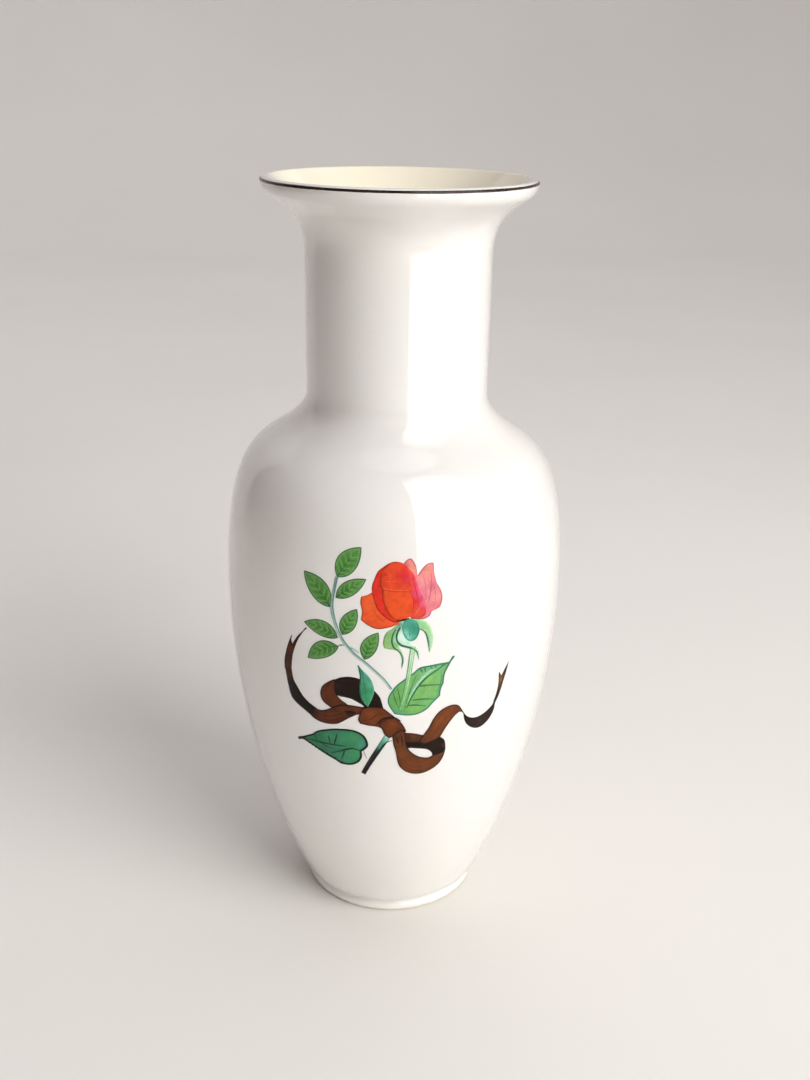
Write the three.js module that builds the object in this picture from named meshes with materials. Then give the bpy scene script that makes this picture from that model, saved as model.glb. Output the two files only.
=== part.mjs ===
// A baluster-shaped porcelain flower vase: egg-shaped belly on a low foot ring, straight neck and
// wide flared mouth with a brown line round its lip. The front of the belly carries a transfer in
// coloured enamels: a rose, a sprig of seven leaflets, three larger leaves and a tied brown ribbon.
// Millimetres, +Z up. The origin is the middle of the foot, on the surface that the vase stands on.
import * as THREE from 'three';
import { TessellateModifier } from 'three/addons/modifiers/TessellateModifier.js';

// ---- Driving dimensions ------------------------------------------------------------------------

const HEIGHT = 250;
const WALL = 3; // thickness of the thrown wall, from the floor to the lip
const FLOOR = 4.2; // thickness of the floor inside the foot ring

const FOOT = { radius: 30.9, inner: 26.8, height: 4.4, top: 30, edge: 1.2 };
const BASE = { radius: 33.2, height: 7, spread: 0.46 }; // where the body leaves its tucked-in base
const BELLY = { radius: 56.6, height: 118.5 };
const SHOULDER = { radius: 49.5, height: 162.5, tilt: THREE.MathUtils.degToRad(58) };
const JUNCTION = { fillet: 9.6, tilt: THREE.MathUtils.degToRad(50) }; // shoulder meets neck
const NECK = { radius: 29.4, bottom: 184.3, top: 226.5 };
const LIP = {
  radius: 42.5,
  undercut: 4.2,
  tilt: THREE.MathUtils.degToRad(34),
  insideTilt: THREE.MathUtils.degToRad(44),
};

const BAND = { start: 4, end: 50, thickness: 0.25 }; // brown line, in degrees round the lip's edge

const ENAMEL = 0.18; // thickness of one printed layer
const CLEARANCE = 0.12; // space under each printed layer
const TURNS = 56; // facets round the vase
const CURVE_STEPS = 4; // facets along each curve of the outside
const INSIDE_STEPS = 2; // facets along each curve of the inside
const ART_STEPS = 2; // facets between two points of a printed outline
const MAX_EDGE = 5; // longest edge of a printed patch, so that it bends with the belly

// ---- Colours -----------------------------------------------------------------------------------

const COLOURS = {
  glaze: [0xf1eee8, 0.12],
  lipBrown: [0x2a1a14, 0.3],
  leafGreen: [0x5c9e4e, 0.35],
  stemBlue: [0x8fb9ad, 0.35],
  roseRed: [0xe23a26, 0.35],
  roseOrange: [0xea5a2c, 0.35],
  roseMagenta: [0xe0475c, 0.35],
  rosePink: [0xf08a90, 0.35],
  calyxTeal: [0x4da38a, 0.35],
  sepalGreen: [0x86c07c, 0.35],
  bigLeafGreen: [0x8cc873, 0.35],
  narrowLeafTeal: [0x42946f, 0.35],
  heartLeafGreen: [0x3c8862, 0.35],
  ribbonBrown: [0x6e3a1c, 0.35],
  ribbonDark: [0x1c0f08, 0.35],
  stickDark: [0x221a1a, 0.35],
};

function material(name) {
  const [color, roughness] = COLOURS[name];
  return new THREE.MeshStandardMaterial({ name, color, roughness, metalness: 0 });
}

function named(name, geometry, colour) {
  const mesh = new THREE.Mesh(geometry, material(colour));
  mesh.name = name;
  return mesh;
}

// ---- The outline of the porcelain, as radius and height ----------------------------------------

/** A direction in the profile plane: tilt is the angle above the way to the axis. */
function towardsAxis(tilt) {
  return new THREE.Vector2(-Math.cos(tilt), Math.sin(tilt));
}

/** A point, moved a distance along a direction. */
function moved(point, direction, distance) {
  return point.clone().addScaledVector(direction, distance);
}

/** The outside of the body, from its base to the bottom of the neck. */
function bodyOutside(steps) {
  const base = new THREE.Vector2(BASE.radius, BASE.height);
  const rise = new THREE.Vector2(BASE.spread, 1);
  const belly = new THREE.Vector2(BELLY.radius, BELLY.height);
  const up = new THREE.Vector2(0, 1);
  const shoulder = new THREE.Vector2(SHOULDER.radius, SHOULDER.height);
  const shoulderWay = towardsAxis(SHOULDER.tilt);
  const filletCentre = new THREE.Vector2(NECK.radius + JUNCTION.fillet, NECK.bottom);
  const filletWay = towardsAxis(JUNCTION.tilt);
  const filletStart = new THREE.Vector2(
    filletCentre.x - JUNCTION.fillet * Math.sin(JUNCTION.tilt),
    filletCentre.y - JUNCTION.fillet * Math.cos(JUNCTION.tilt),
  );
  const lower = new THREE.CubicBezierCurve(base, moved(base, rise, 34.4), moved(belly, up, -33.3), belly);
  const upper = new THREE.CubicBezierCurve(
    belly, moved(belly, up, 22.8), moved(shoulder, shoulderWay, -8.8), shoulder,
  );
  const slope = new THREE.CubicBezierCurve(
    shoulder, moved(shoulder, shoulderWay, 9.4), moved(filletStart, filletWay, -9.2), filletStart,
  );
  const fillet = new THREE.EllipseCurve(
    filletCentre.x, filletCentre.y, JUNCTION.fillet, JUNCTION.fillet,
    -Math.PI / 2 - JUNCTION.tilt, -Math.PI, true,
  );
  return joined([[lower, 2 * steps], [upper, steps], [slope, steps], [fillet, steps]]);
}

/** The outside of the flared mouth, from the top of the neck to the widest part of the lip. */
function mouthOutside(steps) {
  const start = new THREE.Vector2(NECK.radius, NECK.top);
  const edgeCentre = new THREE.Vector2(LIP.radius - LIP.undercut, HEIGHT - WALL / 2);
  const way = new THREE.Vector2(Math.cos(LIP.tilt), Math.sin(LIP.tilt));
  const edgeStart = new THREE.Vector2(
    edgeCentre.x + LIP.undercut * Math.sin(LIP.tilt),
    edgeCentre.y - LIP.undercut * Math.cos(LIP.tilt),
  );
  const flare = new THREE.CubicBezierCurve(
    start, moved(start, new THREE.Vector2(0, 1), 12.4), moved(edgeStart, way, -6.8), edgeStart,
  );
  const edge = new THREE.EllipseCurve(
    edgeCentre.x, edgeCentre.y, LIP.undercut, LIP.undercut, LIP.tilt - Math.PI / 2, 0, false,
  );
  return joined([[flare, steps + 2], [edge, steps - 1]]);
}

/** The rounded edge of the lip, from its widest part over into the mouth. */
function lipEdge(steps) {
  return arc(LIP.radius - WALL / 2, HEIGHT - WALL / 2, WALL / 2, 0, Math.PI / 2 + LIP.insideTilt, steps);
}

/** The inside of the mouth, from the top of the neck to the lip. */
function mouthInside(steps) {
  const start = new THREE.Vector2(NECK.radius - WALL, NECK.top);
  const end = lipEdge(1)[1];
  const way = new THREE.Vector2(Math.cos(LIP.insideTilt), Math.sin(LIP.insideTilt));
  const rise = moved(start, new THREE.Vector2(0, 1), 14.5);
  return new THREE.CubicBezierCurve(start, rise, moved(end, way, -9), end).getPoints(steps);
}

/** Curves end to end as one list of points, each curve cut into its own number of steps. */
function joined(curves) {
  return curves.flatMap(([curve, steps], i) => curve.getPoints(steps).slice(i ? 1 : 0));
}

/** The same line moved sideways, towards the axis. The line ends going straight up. */
function insideOf(line, distance) {
  return line.map((point, i) => {
    const after = line[i + 1] ?? moved(point, new THREE.Vector2(0, 1), 1);
    const before = i > 0 && i < line.length - 1 ? line[i - 1] : point;
    const along = after.clone().sub(before).normalize();
    return new THREE.Vector2(point.x - along.y * distance, point.y + along.x * distance);
  });
}

/** An arc of points about a centre, by angles from the way out. */
function arc(x, y, radius, from, to, steps) {
  return new THREE.EllipseCurve(x, y, radius, radius, from, to, to < from).getPoints(steps);
}

/** A closed profile turned about the vase's axis. */
function turned(profile) {
  const closed = profile[0].x === 0 ? profile : [...profile, profile[0]];
  return new THREE.LatheGeometry(closed, TURNS).rotateX(Math.PI / 2);
}

// ---- Porcelain ---------------------------------------------------------------------------------

function footRing() {
  const { radius, inner, height, top, edge } = FOOT;
  return turned([
    new THREE.Vector2(inner + edge / 2, 0),
    ...arc(radius - edge, edge, edge, -Math.PI / 2, 0, 3),
    new THREE.Vector2(top, height),
    new THREE.Vector2(inner, height),
    new THREE.Vector2(inner, edge / 2),
  ]);
}

function body() {
  const floor = FOOT.height + FLOOR;
  const wall = insideOf(bodyOutside(INSIDE_STEPS), WALL).filter((point) => point.y > floor + 6);
  const corner = new THREE.QuadraticBezierCurve(
    new THREE.Vector2(22, floor), new THREE.Vector2(wall[0].x - 4.5, floor), wall[0],
  );
  const inside = [...corner.getPoints(4), ...wall.slice(1)];
  return turned([
    new THREE.Vector2(0, FOOT.height),
    new THREE.Vector2(FOOT.top, FOOT.height),
    new THREE.Vector2(FOOT.top + 1.9, FOOT.height + 0.6),
    ...bodyOutside(CURVE_STEPS),
    ...inside.reverse(),
    new THREE.Vector2(0, floor),
  ]);
}

function neck() {
  return turned([
    new THREE.Vector2(NECK.radius, NECK.bottom),
    new THREE.Vector2(NECK.radius, NECK.top),
    new THREE.Vector2(NECK.radius - WALL, NECK.top),
    new THREE.Vector2(NECK.radius - WALL, NECK.bottom),
  ]);
}

function mouth() {
  const edge = lipEdge(4).slice(1, -1);
  return turned([...mouthOutside(CURVE_STEPS), ...edge, ...mouthInside(CURVE_STEPS + 1).reverse()]);
}

/** The brown line round the outer edge of the lip. */
function lipBand() {
  const from = THREE.MathUtils.degToRad(BAND.start);
  const to = THREE.MathUtils.degToRad(BAND.end);
  const inner = WALL / 2 + 0.1;
  const outer = inner + BAND.thickness;
  const centre = [LIP.radius - WALL / 2, HEIGHT - WALL / 2];
  return turned([...arc(...centre, outer, from, to, 2), ...arc(...centre, inner, to, from, 2)]);
}

// ---- Printed enamels ---------------------------------------------------------------------------
// A printed outline is drawn flat: u runs round the belly from the middle of the front, and z is
// the height. It is then laid on the body at its own layer, because one colour prints over another.

const skin = bodyOutside(40);

/** The body's radius at a height. */
function bodyRadius(z) {
  const i = Math.max(skin.findIndex((point) => point.y >= z), 1);
  const [low, high] = [skin[i - 1], skin[i]];
  return THREE.MathUtils.mapLinear(z, low.y, high.y, low.x, high.x);
}

/** Bends a flat slab (u, z, depth) round the belly. */
function wrap(geometry, lift) {
  const place = geometry.getAttribute('position');
  for (let i = 0; i < place.count; i += 1) {
    const angle = place.getX(i) / BELLY.radius;
    const z = place.getY(i);
    const radius = bodyRadius(z) + lift + place.getZ(i);
    place.setXYZ(i, radius * Math.sin(angle), -radius * Math.cos(angle), z);
  }
  return geometry;
}

/** A patch of enamel with the outline of a shape, laid on the belly. */
function printed(name, shape, colour, layer) {
  const slab = new THREE.ExtrudeGeometry(shape, { depth: ENAMEL, bevelEnabled: false, steps: 1 });
  const fine = new TessellateModifier(MAX_EDGE, 12).modify(slab);
  return named(name, wrap(fine, CLEARANCE + layer * (ENAMEL + CLEARANCE)), colour);
}

/** A smooth line through points. */
function smooth(points) {
  const curve = new THREE.SplineCurve(points.map(([u, z]) => new THREE.Vector2(u, z)));
  return points.length === 2 ? curve.points : curve.getPoints(ART_STEPS * (points.length - 1));
}

/** A closed outline of smooth strokes that meet at corners: each starts where the one before ends. */
function outline(...strokes) {
  return new THREE.Shape(strokes.flatMap((stroke) => smooth(stroke).slice(0, -1)));
}

/** A band of changing width along a smooth line. */
function strip(points, startWidth, endWidth) {
  const line = smooth(points);
  const side = (sign) => line.map((point, i) => {
    const before = line[Math.max(i - 1, 0)];
    const after = line[Math.min(i + 1, line.length - 1)];
    const across = after.clone().sub(before).normalize().rotateAround(new THREE.Vector2(), Math.PI / 2);
    const half = THREE.MathUtils.lerp(startWidth, endWidth, i / (line.length - 1)) / 2;
    return moved(point, across, sign * half);
  });
  return new THREE.Shape([...side(-1), ...side(1).reverse()]);
}

/** A pointed leaf: left and right are its half widths, seen from its base to its tip. */
function leaf([baseU, baseZ], [tipU, tipZ], left, right) {
  const base = new THREE.Vector2(baseU, baseZ);
  const along = new THREE.Vector2(tipU, tipZ).sub(base);
  const across = new THREE.Vector2(-along.y, along.x).normalize();
  const control = (part, width) => moved(moved(base, along, part), across, width / 0.75);
  const sides = [[0.2, 0.66, left], [0.2, 0.66, -right]].map(([near, far, width]) => {
    const tip = base.clone().add(along);
    return new THREE.CubicBezierCurve(base, control(near, width), control(far, width), tip).getPoints(6);
  });
  return new THREE.Shape([...sides[1], ...sides[0].slice(1, -1).reverse()]);
}

function leaflets() {
  const leaves = [
    [[-17.4, 139.8], [-10.2, 149.6], 3.8, 2.8],
    [[-19.6, 130], [-28.7, 139.9], 2.6, 4],
    [[-17.7, 133.3], [-8.3, 140.1], 2.7, 2.1],
    [[-15.6, 121.5], [-11, 130.5], 2.7, 2.3],
    [[-16.9, 120.3], [-28.4, 123.4], 1.8, 3.5],
    [[-16.7, 117.4], [-27.3, 111.3], 1.9, 3.8],
    [[-8.6, 113.9], [-4.4, 123.4], 3.1, 1.9],
  ];
  return leaves.map((sizes, i) => printed(`leaflet_${i + 1}`, leaf(...sizes), 'leafGreen', 0));
}

function sprig() {
  const stem = [
    [-17.5, 139.9], [-18.3, 135.6], [-18.9, 130.8], [-18.1, 126], [-16.4, 121.4],
    [-14.4, 118.3], [-11.6, 115.3], [-8.4, 112.8], [-5.4, 110.1], [-2.9, 107.4], [-1, 104.8],
  ];
  const leftTwig = [[-16.3, 117.8], [-15.7, 118.1], [-14.9, 118.2]];
  const rightTwig = [[-13.6, 117.9], [-12.2, 117.5], [-10.4, 116.4]];
  return [
    printed('sprig_stem', strip(stem, 1, 0.7), 'stemBlue', 1),
    printed('sprig_twig_left', strip(leftTwig, 0.6, 0.6), 'stemBlue', 0),
    printed('sprig_twig_right', strip(rightTwig, 0.6, 0.5), 'stemBlue', 0),
  ];
}

function rose() {
  const left = outline(
    [[-9.8, 134.6], [-8, 135.2], [-6, 136.5]],
    [[-6, 136.5], [-3, 131], [2.2, 126.6]],
    [[2.2, 126.6], [-1.3, 125.1], [-5, 124.5], [-8, 125.8], [-9.8, 127.1]],
    [[-9.8, 127.1], [-9.5, 130], [-10, 132.5], [-9.8, 134.6]],
  );
  const ring = outline(
    [
      [-1.3, 145.4], [-4.6, 143], [-6, 140], [-6.6, 137.3], [-5.9, 133.7],
      [-4.6, 130.6], [-2, 128], [0.8, 126.8], [3.8, 127.9],
    ],
    [[3.8, 127.9], [0, 131], [-1.5, 137], [-1.3, 145.4]],
  );
  const top = outline(
    [[2.5, 144.5], [3.7, 146.2], [5.2, 146.7], [6.5, 144.8], [7, 142.3]],
    [[7, 142.3], [5, 138], [2.5, 144.5]],
  );
  const right = outline(
    [[7.3, 141.8], [8.6, 143.7], [10.4, 145.1], [12.1, 145.1]],
    [[12.1, 145.1], [12.2, 142.5], [13, 139], [14.3, 136.7], [14.8, 134], [14, 131.2]],
    [[14, 131.2], [11.5, 130.1]],
    [[11.5, 130.1], [11, 128.7], [9.3, 127.8], [7, 127.5]],
    [[7, 127.5], [6.5, 133], [6.4, 138], [7.3, 141.8]],
  );
  const middle = outline(
    [[3.5, 144.5], [5.6, 142], [6.4, 138.5], [8.2, 134.5], [9.3, 131]],
    [[9.3, 131], [9.2, 129], [7.6, 128], [5.5, 127.9]],
    [[5.5, 127.9], [3, 132], [2, 138], [3.5, 144.5]],
  );
  const crown = outline(
    [[-4.2, 139.5], [-3.6, 143], [-1.3, 145.3], [0.8, 145.8], [3.2, 145], [5, 142.5], [5.8, 138.8]],
    [[5.8, 138.8], [4, 137.9], [0.5, 137.9], [-2.5, 138.4], [-4.2, 139.5]],
  );
  const centre = outline(
    [[-3.3, 137.9], [-1.8, 137.5], [1.4, 137.2], [4.5, 137.2]],
    [
      [4.5, 137.2], [5.5, 135], [6.1, 132], [5.8, 129.5], [3.6, 128],
      [1.1, 127.6], [-0.8, 128.7], [-2.4, 131.5], [-3.3, 134.7], [-3.3, 137.9],
    ],
  );
  return [
    printed('petal_outer_left', left, 'roseOrange', 0),
    printed('petal_back_top', top, 'rosePink', 0),
    printed('petal_outer_right', right, 'rosePink', 0),
    printed('petal_ring', ring, 'roseRed', 1),
    printed('petal_middle', middle, 'roseMagenta', 1),
    printed('petal_crown', crown, 'roseRed', 2),
    printed('petal_centre', centre, 'roseOrange', 2),
  ];
}

function calyx() {
  const cup = new THREE.Shape(new THREE.EllipseCurve(5.3, 124.2, 2.4, 3.5).getPoints(16).slice(0, -1));
  const left = outline(
    [[-0.4, 124.4], [-2.2, 123.2], [-3, 120.2], [-2.6, 118.2]],
    [[-2.6, 118.2], [-1, 117.9], [1, 117.5], [2.3, 116.2], [2.9, 114.2], [2.8, 111.4]],
    [[2.8, 111.4], [3.4, 114.4], [2.7, 117], [1, 118.6], [0.2, 121], [0.6, 124.5]],
    [[0.6, 124.5], [-0.4, 124.4]],
  );
  const middle = outline(
    [[1.2, 125], [0.9, 122.8], [1.1, 120.4], [2.4, 118.9], [5.4, 117.9], [6.9, 116.9], [7.9, 114.2]],
    [[7.9, 114.2], [8.2, 116.2], [7, 118.2], [4.2, 119.3], [2.4, 120.5], [2.6, 123], [3.2, 125.6]],
    [[3.2, 125.6], [1.2, 125]],
  );
  const right = outline(
    [[6.9, 127], [9.4, 126.6], [11.3, 124.4], [12, 121.6], [11.8, 118.5], [11.1, 116.4]],
    [[11.1, 116.4], [10.8, 119.4], [10.3, 121.9], [9.4, 123.6], [7.8, 124.4], [6.9, 127]],
  );
  const stem = strip([[6.1, 118.9], [5.5, 113.8], [5, 109.5], [4.1, 103.5], [2.4, 96.4]], 1.6, 1.5);
  return [
    printed('calyx_cup', cup, 'calyxTeal', 1),
    printed('sepal_left', left, 'sepalGreen', 0),
    printed('sepal_middle', middle, 'sepalGreen', 0),
    printed('sepal_right', right, 'sepalGreen', 0),
    printed('rose_stem', stem, 'sepalGreen', 1),
  ];
}

function largeLeaves() {
  const rose = outline(
    [[0.8, 95], [-1, 98], [-1.4, 100.4], [-0.5, 102.8], [1.4, 105.6], [3.9, 107.8], [6.6, 110]],
    [[6.6, 110], [8.3, 111.5], [11.4, 112], [15, 112.4], [17.3, 112.4]],
    [[17.3, 112.4], [19, 114.4]],
    [[19, 114.4], [17.6, 111.5], [16.3, 108.5], [16, 105.2]],
    [[16, 105.2], [15.3, 103.3], [15.1, 100.8]],
    [[15.1, 100.8], [12.8, 98.4], [10.9, 96.2], [8, 94.7], [4.5, 94.4], [0.8, 95]],
  );
  const narrow = outline(
    [[-10.7, 111.9], [-9, 110], [-7.2, 108], [-6.1, 106], [-5.6, 103], [-6.3, 100.3], [-7.6, 97.2]],
    [[-7.6, 97.2], [-9.2, 99], [-10.1, 101.5], [-10.2, 104.5], [-9.9, 108], [-10.7, 111.9]],
  );
  const heart = outline(
    [
      [-33.8, 79.3], [-30.9, 81.2], [-27.5, 83.1], [-25, 85.1], [-20, 87], [-16.9, 87.6],
      [-13.8, 87.9], [-11.2, 87.5], [-9.1, 86.2], [-8, 84.2], [-7.8, 82.3], [-8.8, 80.8], [-10, 79.9],
    ],
    [
      [-10, 79.9], [-9.9, 77.9], [-10.8, 75.7], [-12.8, 74.2], [-15, 73.6], [-17.5, 73.6],
      [-20, 74.8], [-25, 77.3], [-30, 79.7], [-33.8, 79.3],
    ],
  );
  return [
    printed('rose_leaf', rose, 'bigLeafGreen', 0),
    printed('narrow_leaf', narrow, 'narrowLeafTeal', 1),
    printed('heart_leaf', heart, 'heartLeafGreen', 0),
    printed('cut_stem', strip([[-9.7, 71], [-7.4, 75.4], [-5, 79.8], [-2.7, 83.5]], 1.6, 1.2), 'stickDark', 0),
  ];
}

/** The ribbon's left half: forked tail, dark turn, the run to the knot, and the upper loop. */
function ribbonLeft() {
  const tip = outline(
    [[-27.5, 121.6], [-30.2, 117.6], [-31.8, 114.2], [-32.9, 111], [-33.5, 107.8], [-33.8, 105]],
    [[-33.8, 105], [-36.6, 105]],
    [[-36.6, 105], [-36.4, 108.1], [-35.4, 111.9], [-34.3, 115], [-33.1, 117.6]],
    [[-33.1, 117.6], [-33.3, 115.6], [-32.9, 114.6]],
    [[-32.9, 114.6], [-31, 117.7], [-27.5, 121.6]],
  );
  const turn = outline(
    [[-33.85, 104.7], [-33.2, 102], [-31.9, 99.8], [-30, 97], [-27.8, 95.1], [-25.9, 93.8]],
    [[-25.9, 93.8], [-27.6, 90.4]],
    [[-27.6, 90.4], [-30.3, 92], [-33.1, 93.6], [-34.7, 95.4], [-35.6, 99.2], [-36.5, 104.7]],
    [[-36.5, 104.7], [-33.85, 104.7]],
  );
  const run = outline(
    [[-25.6, 93.6], [-23.1, 93.4], [-20.2, 94.7], [-17.5, 96.5], [-14, 97.2], [-9.3, 97]],
    [[-9.3, 97], [-10.8, 94.2]],
    [[-10.8, 94.2], [-13.8, 92.3], [-16.3, 90.4], [-18.4, 89.2], [-21.6, 88.7], [-24.7, 89], [-27.2, 90.1]],
    [[-27.2, 90.1], [-25.6, 93.6]],
  );
  const fold = outline(
    [[-15.2, 94.6], [-13, 95.1], [-11.2, 94.6]],
    [[-11.2, 94.6], [-12.6, 93.6], [-14.4, 93.2]],
    [[-14.4, 93.2], [-15.2, 94.6]],
  );
  const loop = outline(
    [[-18.2, 105.8], [-20.3, 104.5], [-22.5, 102.3], [-23.3, 99.5], [-22.5, 97], [-20, 95.2]],
    [[-20, 95.2], [-17.5, 96.4], [-14.6, 97.4]],
    [[-14.6, 97.4], [-16.2, 98.6], [-17.3, 99.8], [-18.1, 101.4], [-18.2, 105.8]],
  );
  const reverse = outline(
    [
      [-18, 105.7], [-16.3, 106.7], [-13.4, 107.4], [-10.3, 107],
      [-7, 104.8], [-5, 102.6], [-3.7, 100.7], [-2.9, 97.7],
    ],
    [[-2.9, 97.7], [-8.9, 97.5]],
    [[-8.9, 97.5], [-10.6, 98.4], [-12.8, 99.5], [-15, 99.8], [-16.8, 99.9], [-17.9, 101]],
    [[-17.9, 101], [-18, 105.7]],
  );
  return [
    printed('ribbon_tail_left', tip, 'ribbonBrown', 0),
    printed('ribbon_tail_left_reverse', turn, 'ribbonDark', 0),
    printed('ribbon_run_left', run, 'ribbonBrown', 0),
    printed('ribbon_fold', fold, 'ribbonDark', 1),
    printed('ribbon_loop_left', loop, 'ribbonBrown', 1),
    printed('ribbon_loop_left_reverse', reverse, 'ribbonDark', 0),
  ];
}

/** The two wraps of the knot. */
function ribbonKnot() {
  const left = outline(
    [[-10.3, 94.3], [-9.4, 96.4], [-7.6, 97.2], [-5, 97.5], [-3, 97.2], [-0.8, 95.4], [0.6, 94.2]],
    [[0.6, 94.2], [-1, 94], [-3, 93.2], [-4.8, 91.4], [-4.8, 90.1]],
    [[-4.8, 90.1], [-7.5, 90.3], [-10.2, 90.8]],
    [[-10.2, 90.8], [-10.8, 92.2], [-10.3, 94.3]],
  );
  const right = outline(
    [[-4.3, 91], [-2.8, 92.6], [-0.8, 93.5], [1, 93.4], [2.6, 92.3], [4, 90.1], [4.7, 88.4]],
    [[4.7, 88.4], [2.8, 88.5], [0.3, 86.5], [-0.9, 85.9]],
    [[-0.9, 85.9], [-2.3, 87.2], [-3.2, 89.3], [-4.3, 91]],
  );
  return [
    printed('ribbon_knot_left', left, 'ribbonBrown', 2),
    printed('ribbon_knot_right', right, 'ribbonBrown', 2),
  ];
}

/** The ribbon's right half: the lower loop, the band over it, the dark turn and the forked tail. */
function ribbonRight() {
  const loop = outline(
    [
      [0.2, 86.2], [0.6, 83.2], [1.4, 80.4], [1.9, 77.3], [2.8, 74.5], [5, 72.3], [8.1, 71.2],
      [11.3, 71.4], [14.4, 72.8], [16.6, 74.8], [17.8, 77.3], [18.3, 80],
    ],
    [[18.3, 80], [16.6, 78.9], [14.1, 78.3]],
    [[14.1, 78.3], [12.5, 77.5], [10, 77.9], [8.1, 78.9], [6.7, 80.1], [5.9, 81]],
    [[5.9, 81], [5, 82.6], [4.6, 85], [4.4, 88.2]],
    [[4.4, 88.2], [2.5, 88.2], [0.2, 86.2]],
  );
  const reverse = outline(
    [[4.9, 84.2], [8.8, 83.7], [11, 83], [13.7, 84.1], [16.2, 85.1]],
    [[16.2, 85.1], [17.7, 83.6], [18.3, 80.6]],
    [[18.3, 80.6], [16.6, 79.2], [14.3, 78.5]],
    [[14.3, 78.5], [13.4, 79.5], [11.9, 80.8], [9.4, 81.4], [5.4, 82]],
    [[5.4, 82], [4.9, 84.2]],
  );
  const back = outline(
    [[4.7, 87.8], [7.5, 87.4], [10.1, 86.6]],
    [[10.1, 86.6], [8.8, 84.2]],
    [[8.8, 84.2], [5, 84.6]],
    [[5, 84.6], [4.7, 87.8]],
  );
  const band = outline(
    [
      [9, 84.1], [10.4, 86.8], [11.9, 89.2], [13.4, 92.6], [15.3, 95.1], [17.8, 96.5],
      [20, 96.8], [21.9, 95.9], [23.5, 93.2],
    ],
    [[23.5, 93.2], [22.4, 93.7], [20.9, 92.9], [19.4, 91.1], [17.8, 88.6], [16.7, 86.4], [16, 85.2]],
    [[16, 85.2], [13.8, 84], [11, 83.2], [9, 84.1]],
  );
  const turn = outline(
    [[23.8, 92.8], [24.8, 91.6], [26.6, 90.4], [28.8, 90], [31.2, 90.6], [33.2, 91.7], [35, 93.2]],
    [[35, 93.2], [35.8, 93.1]],
    [
      [35.8, 93.1], [35.6, 90.7], [34.1, 87.9], [31.9, 86.1], [29.7, 85.6],
      [27.2, 86.5], [25.3, 88.2], [24.1, 90.4], [23.8, 92.8],
    ],
  );
  const tip = outline(
    [[35.3, 93.6], [36, 95.6], [36.6, 98.2], [36.8, 100.8], [36.3, 104.8]],
    [[36.3, 104.8], [37.4, 102.6]],
    [[37.4, 102.6], [38.2, 104.2], [40, 107.2]],
    [[40, 107.2], [39, 103.6], [38.1, 100.8], [37.5, 98], [36.8, 95.6], [35.9, 93.6]],
    [[35.9, 93.6], [35.3, 93.6]],
  );
  return [
    printed('ribbon_loop_right', loop, 'ribbonBrown', 1),
    printed('ribbon_loop_right_reverse', reverse, 'ribbonDark', 0),
    printed('ribbon_loop_right_back', back, 'ribbonBrown', 0),
    printed('ribbon_band_right', band, 'ribbonBrown', 1),
    printed('ribbon_tail_right_reverse', turn, 'ribbonDark', 0),
    printed('ribbon_tail_right', tip, 'ribbonBrown', 0),
  ];
}

// ---- Assembly ----------------------------------------------------------------------------------

const porcelain = new THREE.Group();
porcelain.add(
  named('foot_ring', footRing(), 'glaze'),
  named('body', body(), 'glaze'),
  named('neck', neck(), 'glaze'),
  named('mouth', mouth(), 'glaze'),
  named('lip_band', lipBand(), 'lipBrown'),
);

const transfer = new THREE.Group();
transfer.add(
  ...leaflets(), ...sprig(), ...rose(), ...calyx(), ...largeLeaves(),
  ...ribbonLeft(), ...ribbonKnot(), ...ribbonRight(),
);

const vase = new THREE.Group();
vase.add(porcelain, transfer);

export default vase;
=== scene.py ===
import math

import bmesh
import bpy
import numpy as np
from mathutils import Matrix, Vector
from mathutils.geometry import delaunay_2d_cdt


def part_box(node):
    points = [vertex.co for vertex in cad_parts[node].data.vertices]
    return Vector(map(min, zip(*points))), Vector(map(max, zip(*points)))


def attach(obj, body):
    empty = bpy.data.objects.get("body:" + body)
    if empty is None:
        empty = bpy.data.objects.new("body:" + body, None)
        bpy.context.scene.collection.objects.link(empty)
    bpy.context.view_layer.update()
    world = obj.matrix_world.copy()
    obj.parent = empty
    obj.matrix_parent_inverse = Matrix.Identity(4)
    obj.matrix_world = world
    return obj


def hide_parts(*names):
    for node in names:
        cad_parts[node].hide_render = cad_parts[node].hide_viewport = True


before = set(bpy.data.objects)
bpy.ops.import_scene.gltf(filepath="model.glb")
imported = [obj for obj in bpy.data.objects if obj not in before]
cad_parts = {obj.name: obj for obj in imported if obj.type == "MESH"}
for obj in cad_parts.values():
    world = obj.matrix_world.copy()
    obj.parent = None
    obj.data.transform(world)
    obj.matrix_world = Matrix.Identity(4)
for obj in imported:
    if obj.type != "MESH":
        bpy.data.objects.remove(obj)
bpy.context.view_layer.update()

MM = 0.001


# ---- Driving dimensions ------------------------------------------------------------------------

def highest(node):
    """The highest corner of a CAD node's box."""
    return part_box(node)[1] / MM


def lowest(node):
    """The lowest corner of a CAD node's box."""
    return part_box(node)[0] / MM


HEIGHT = highest("mouth").z
WALL = 3.0
FLOOR = highest("foot_ring").z + 4.2  # top of the floor inside the vase

FOOT_RADIUS = highest("foot_ring").x
FOOT_HEIGHT = highest("foot_ring").z
FOOT_INNER = 26.8
FOOT_TOP = 30.0
BASE = (33.2, 7.0)  # where the body leaves its tucked-in base
BASE_SPREAD = 0.46
BELLY_RADIUS = highest("body").x
BELLY_HEIGHT = 118.5
SHOULDER = (49.5, 162.5)
SHOULDER_TILT = math.radians(58)
JUNCTION_FILLET = 9.6
JUNCTION_TILT = math.radians(50)
NECK_RADIUS = highest("neck").x
NECK_BOTTOM = lowest("neck").z
NECK_TOP = highest("neck").z
LIP_RADIUS = highest("mouth").x
LIP_UNDERCUT = 4.2
LIP_TILT = math.radians(34)
LIP_INSIDE_TILT = math.radians(44)

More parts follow.
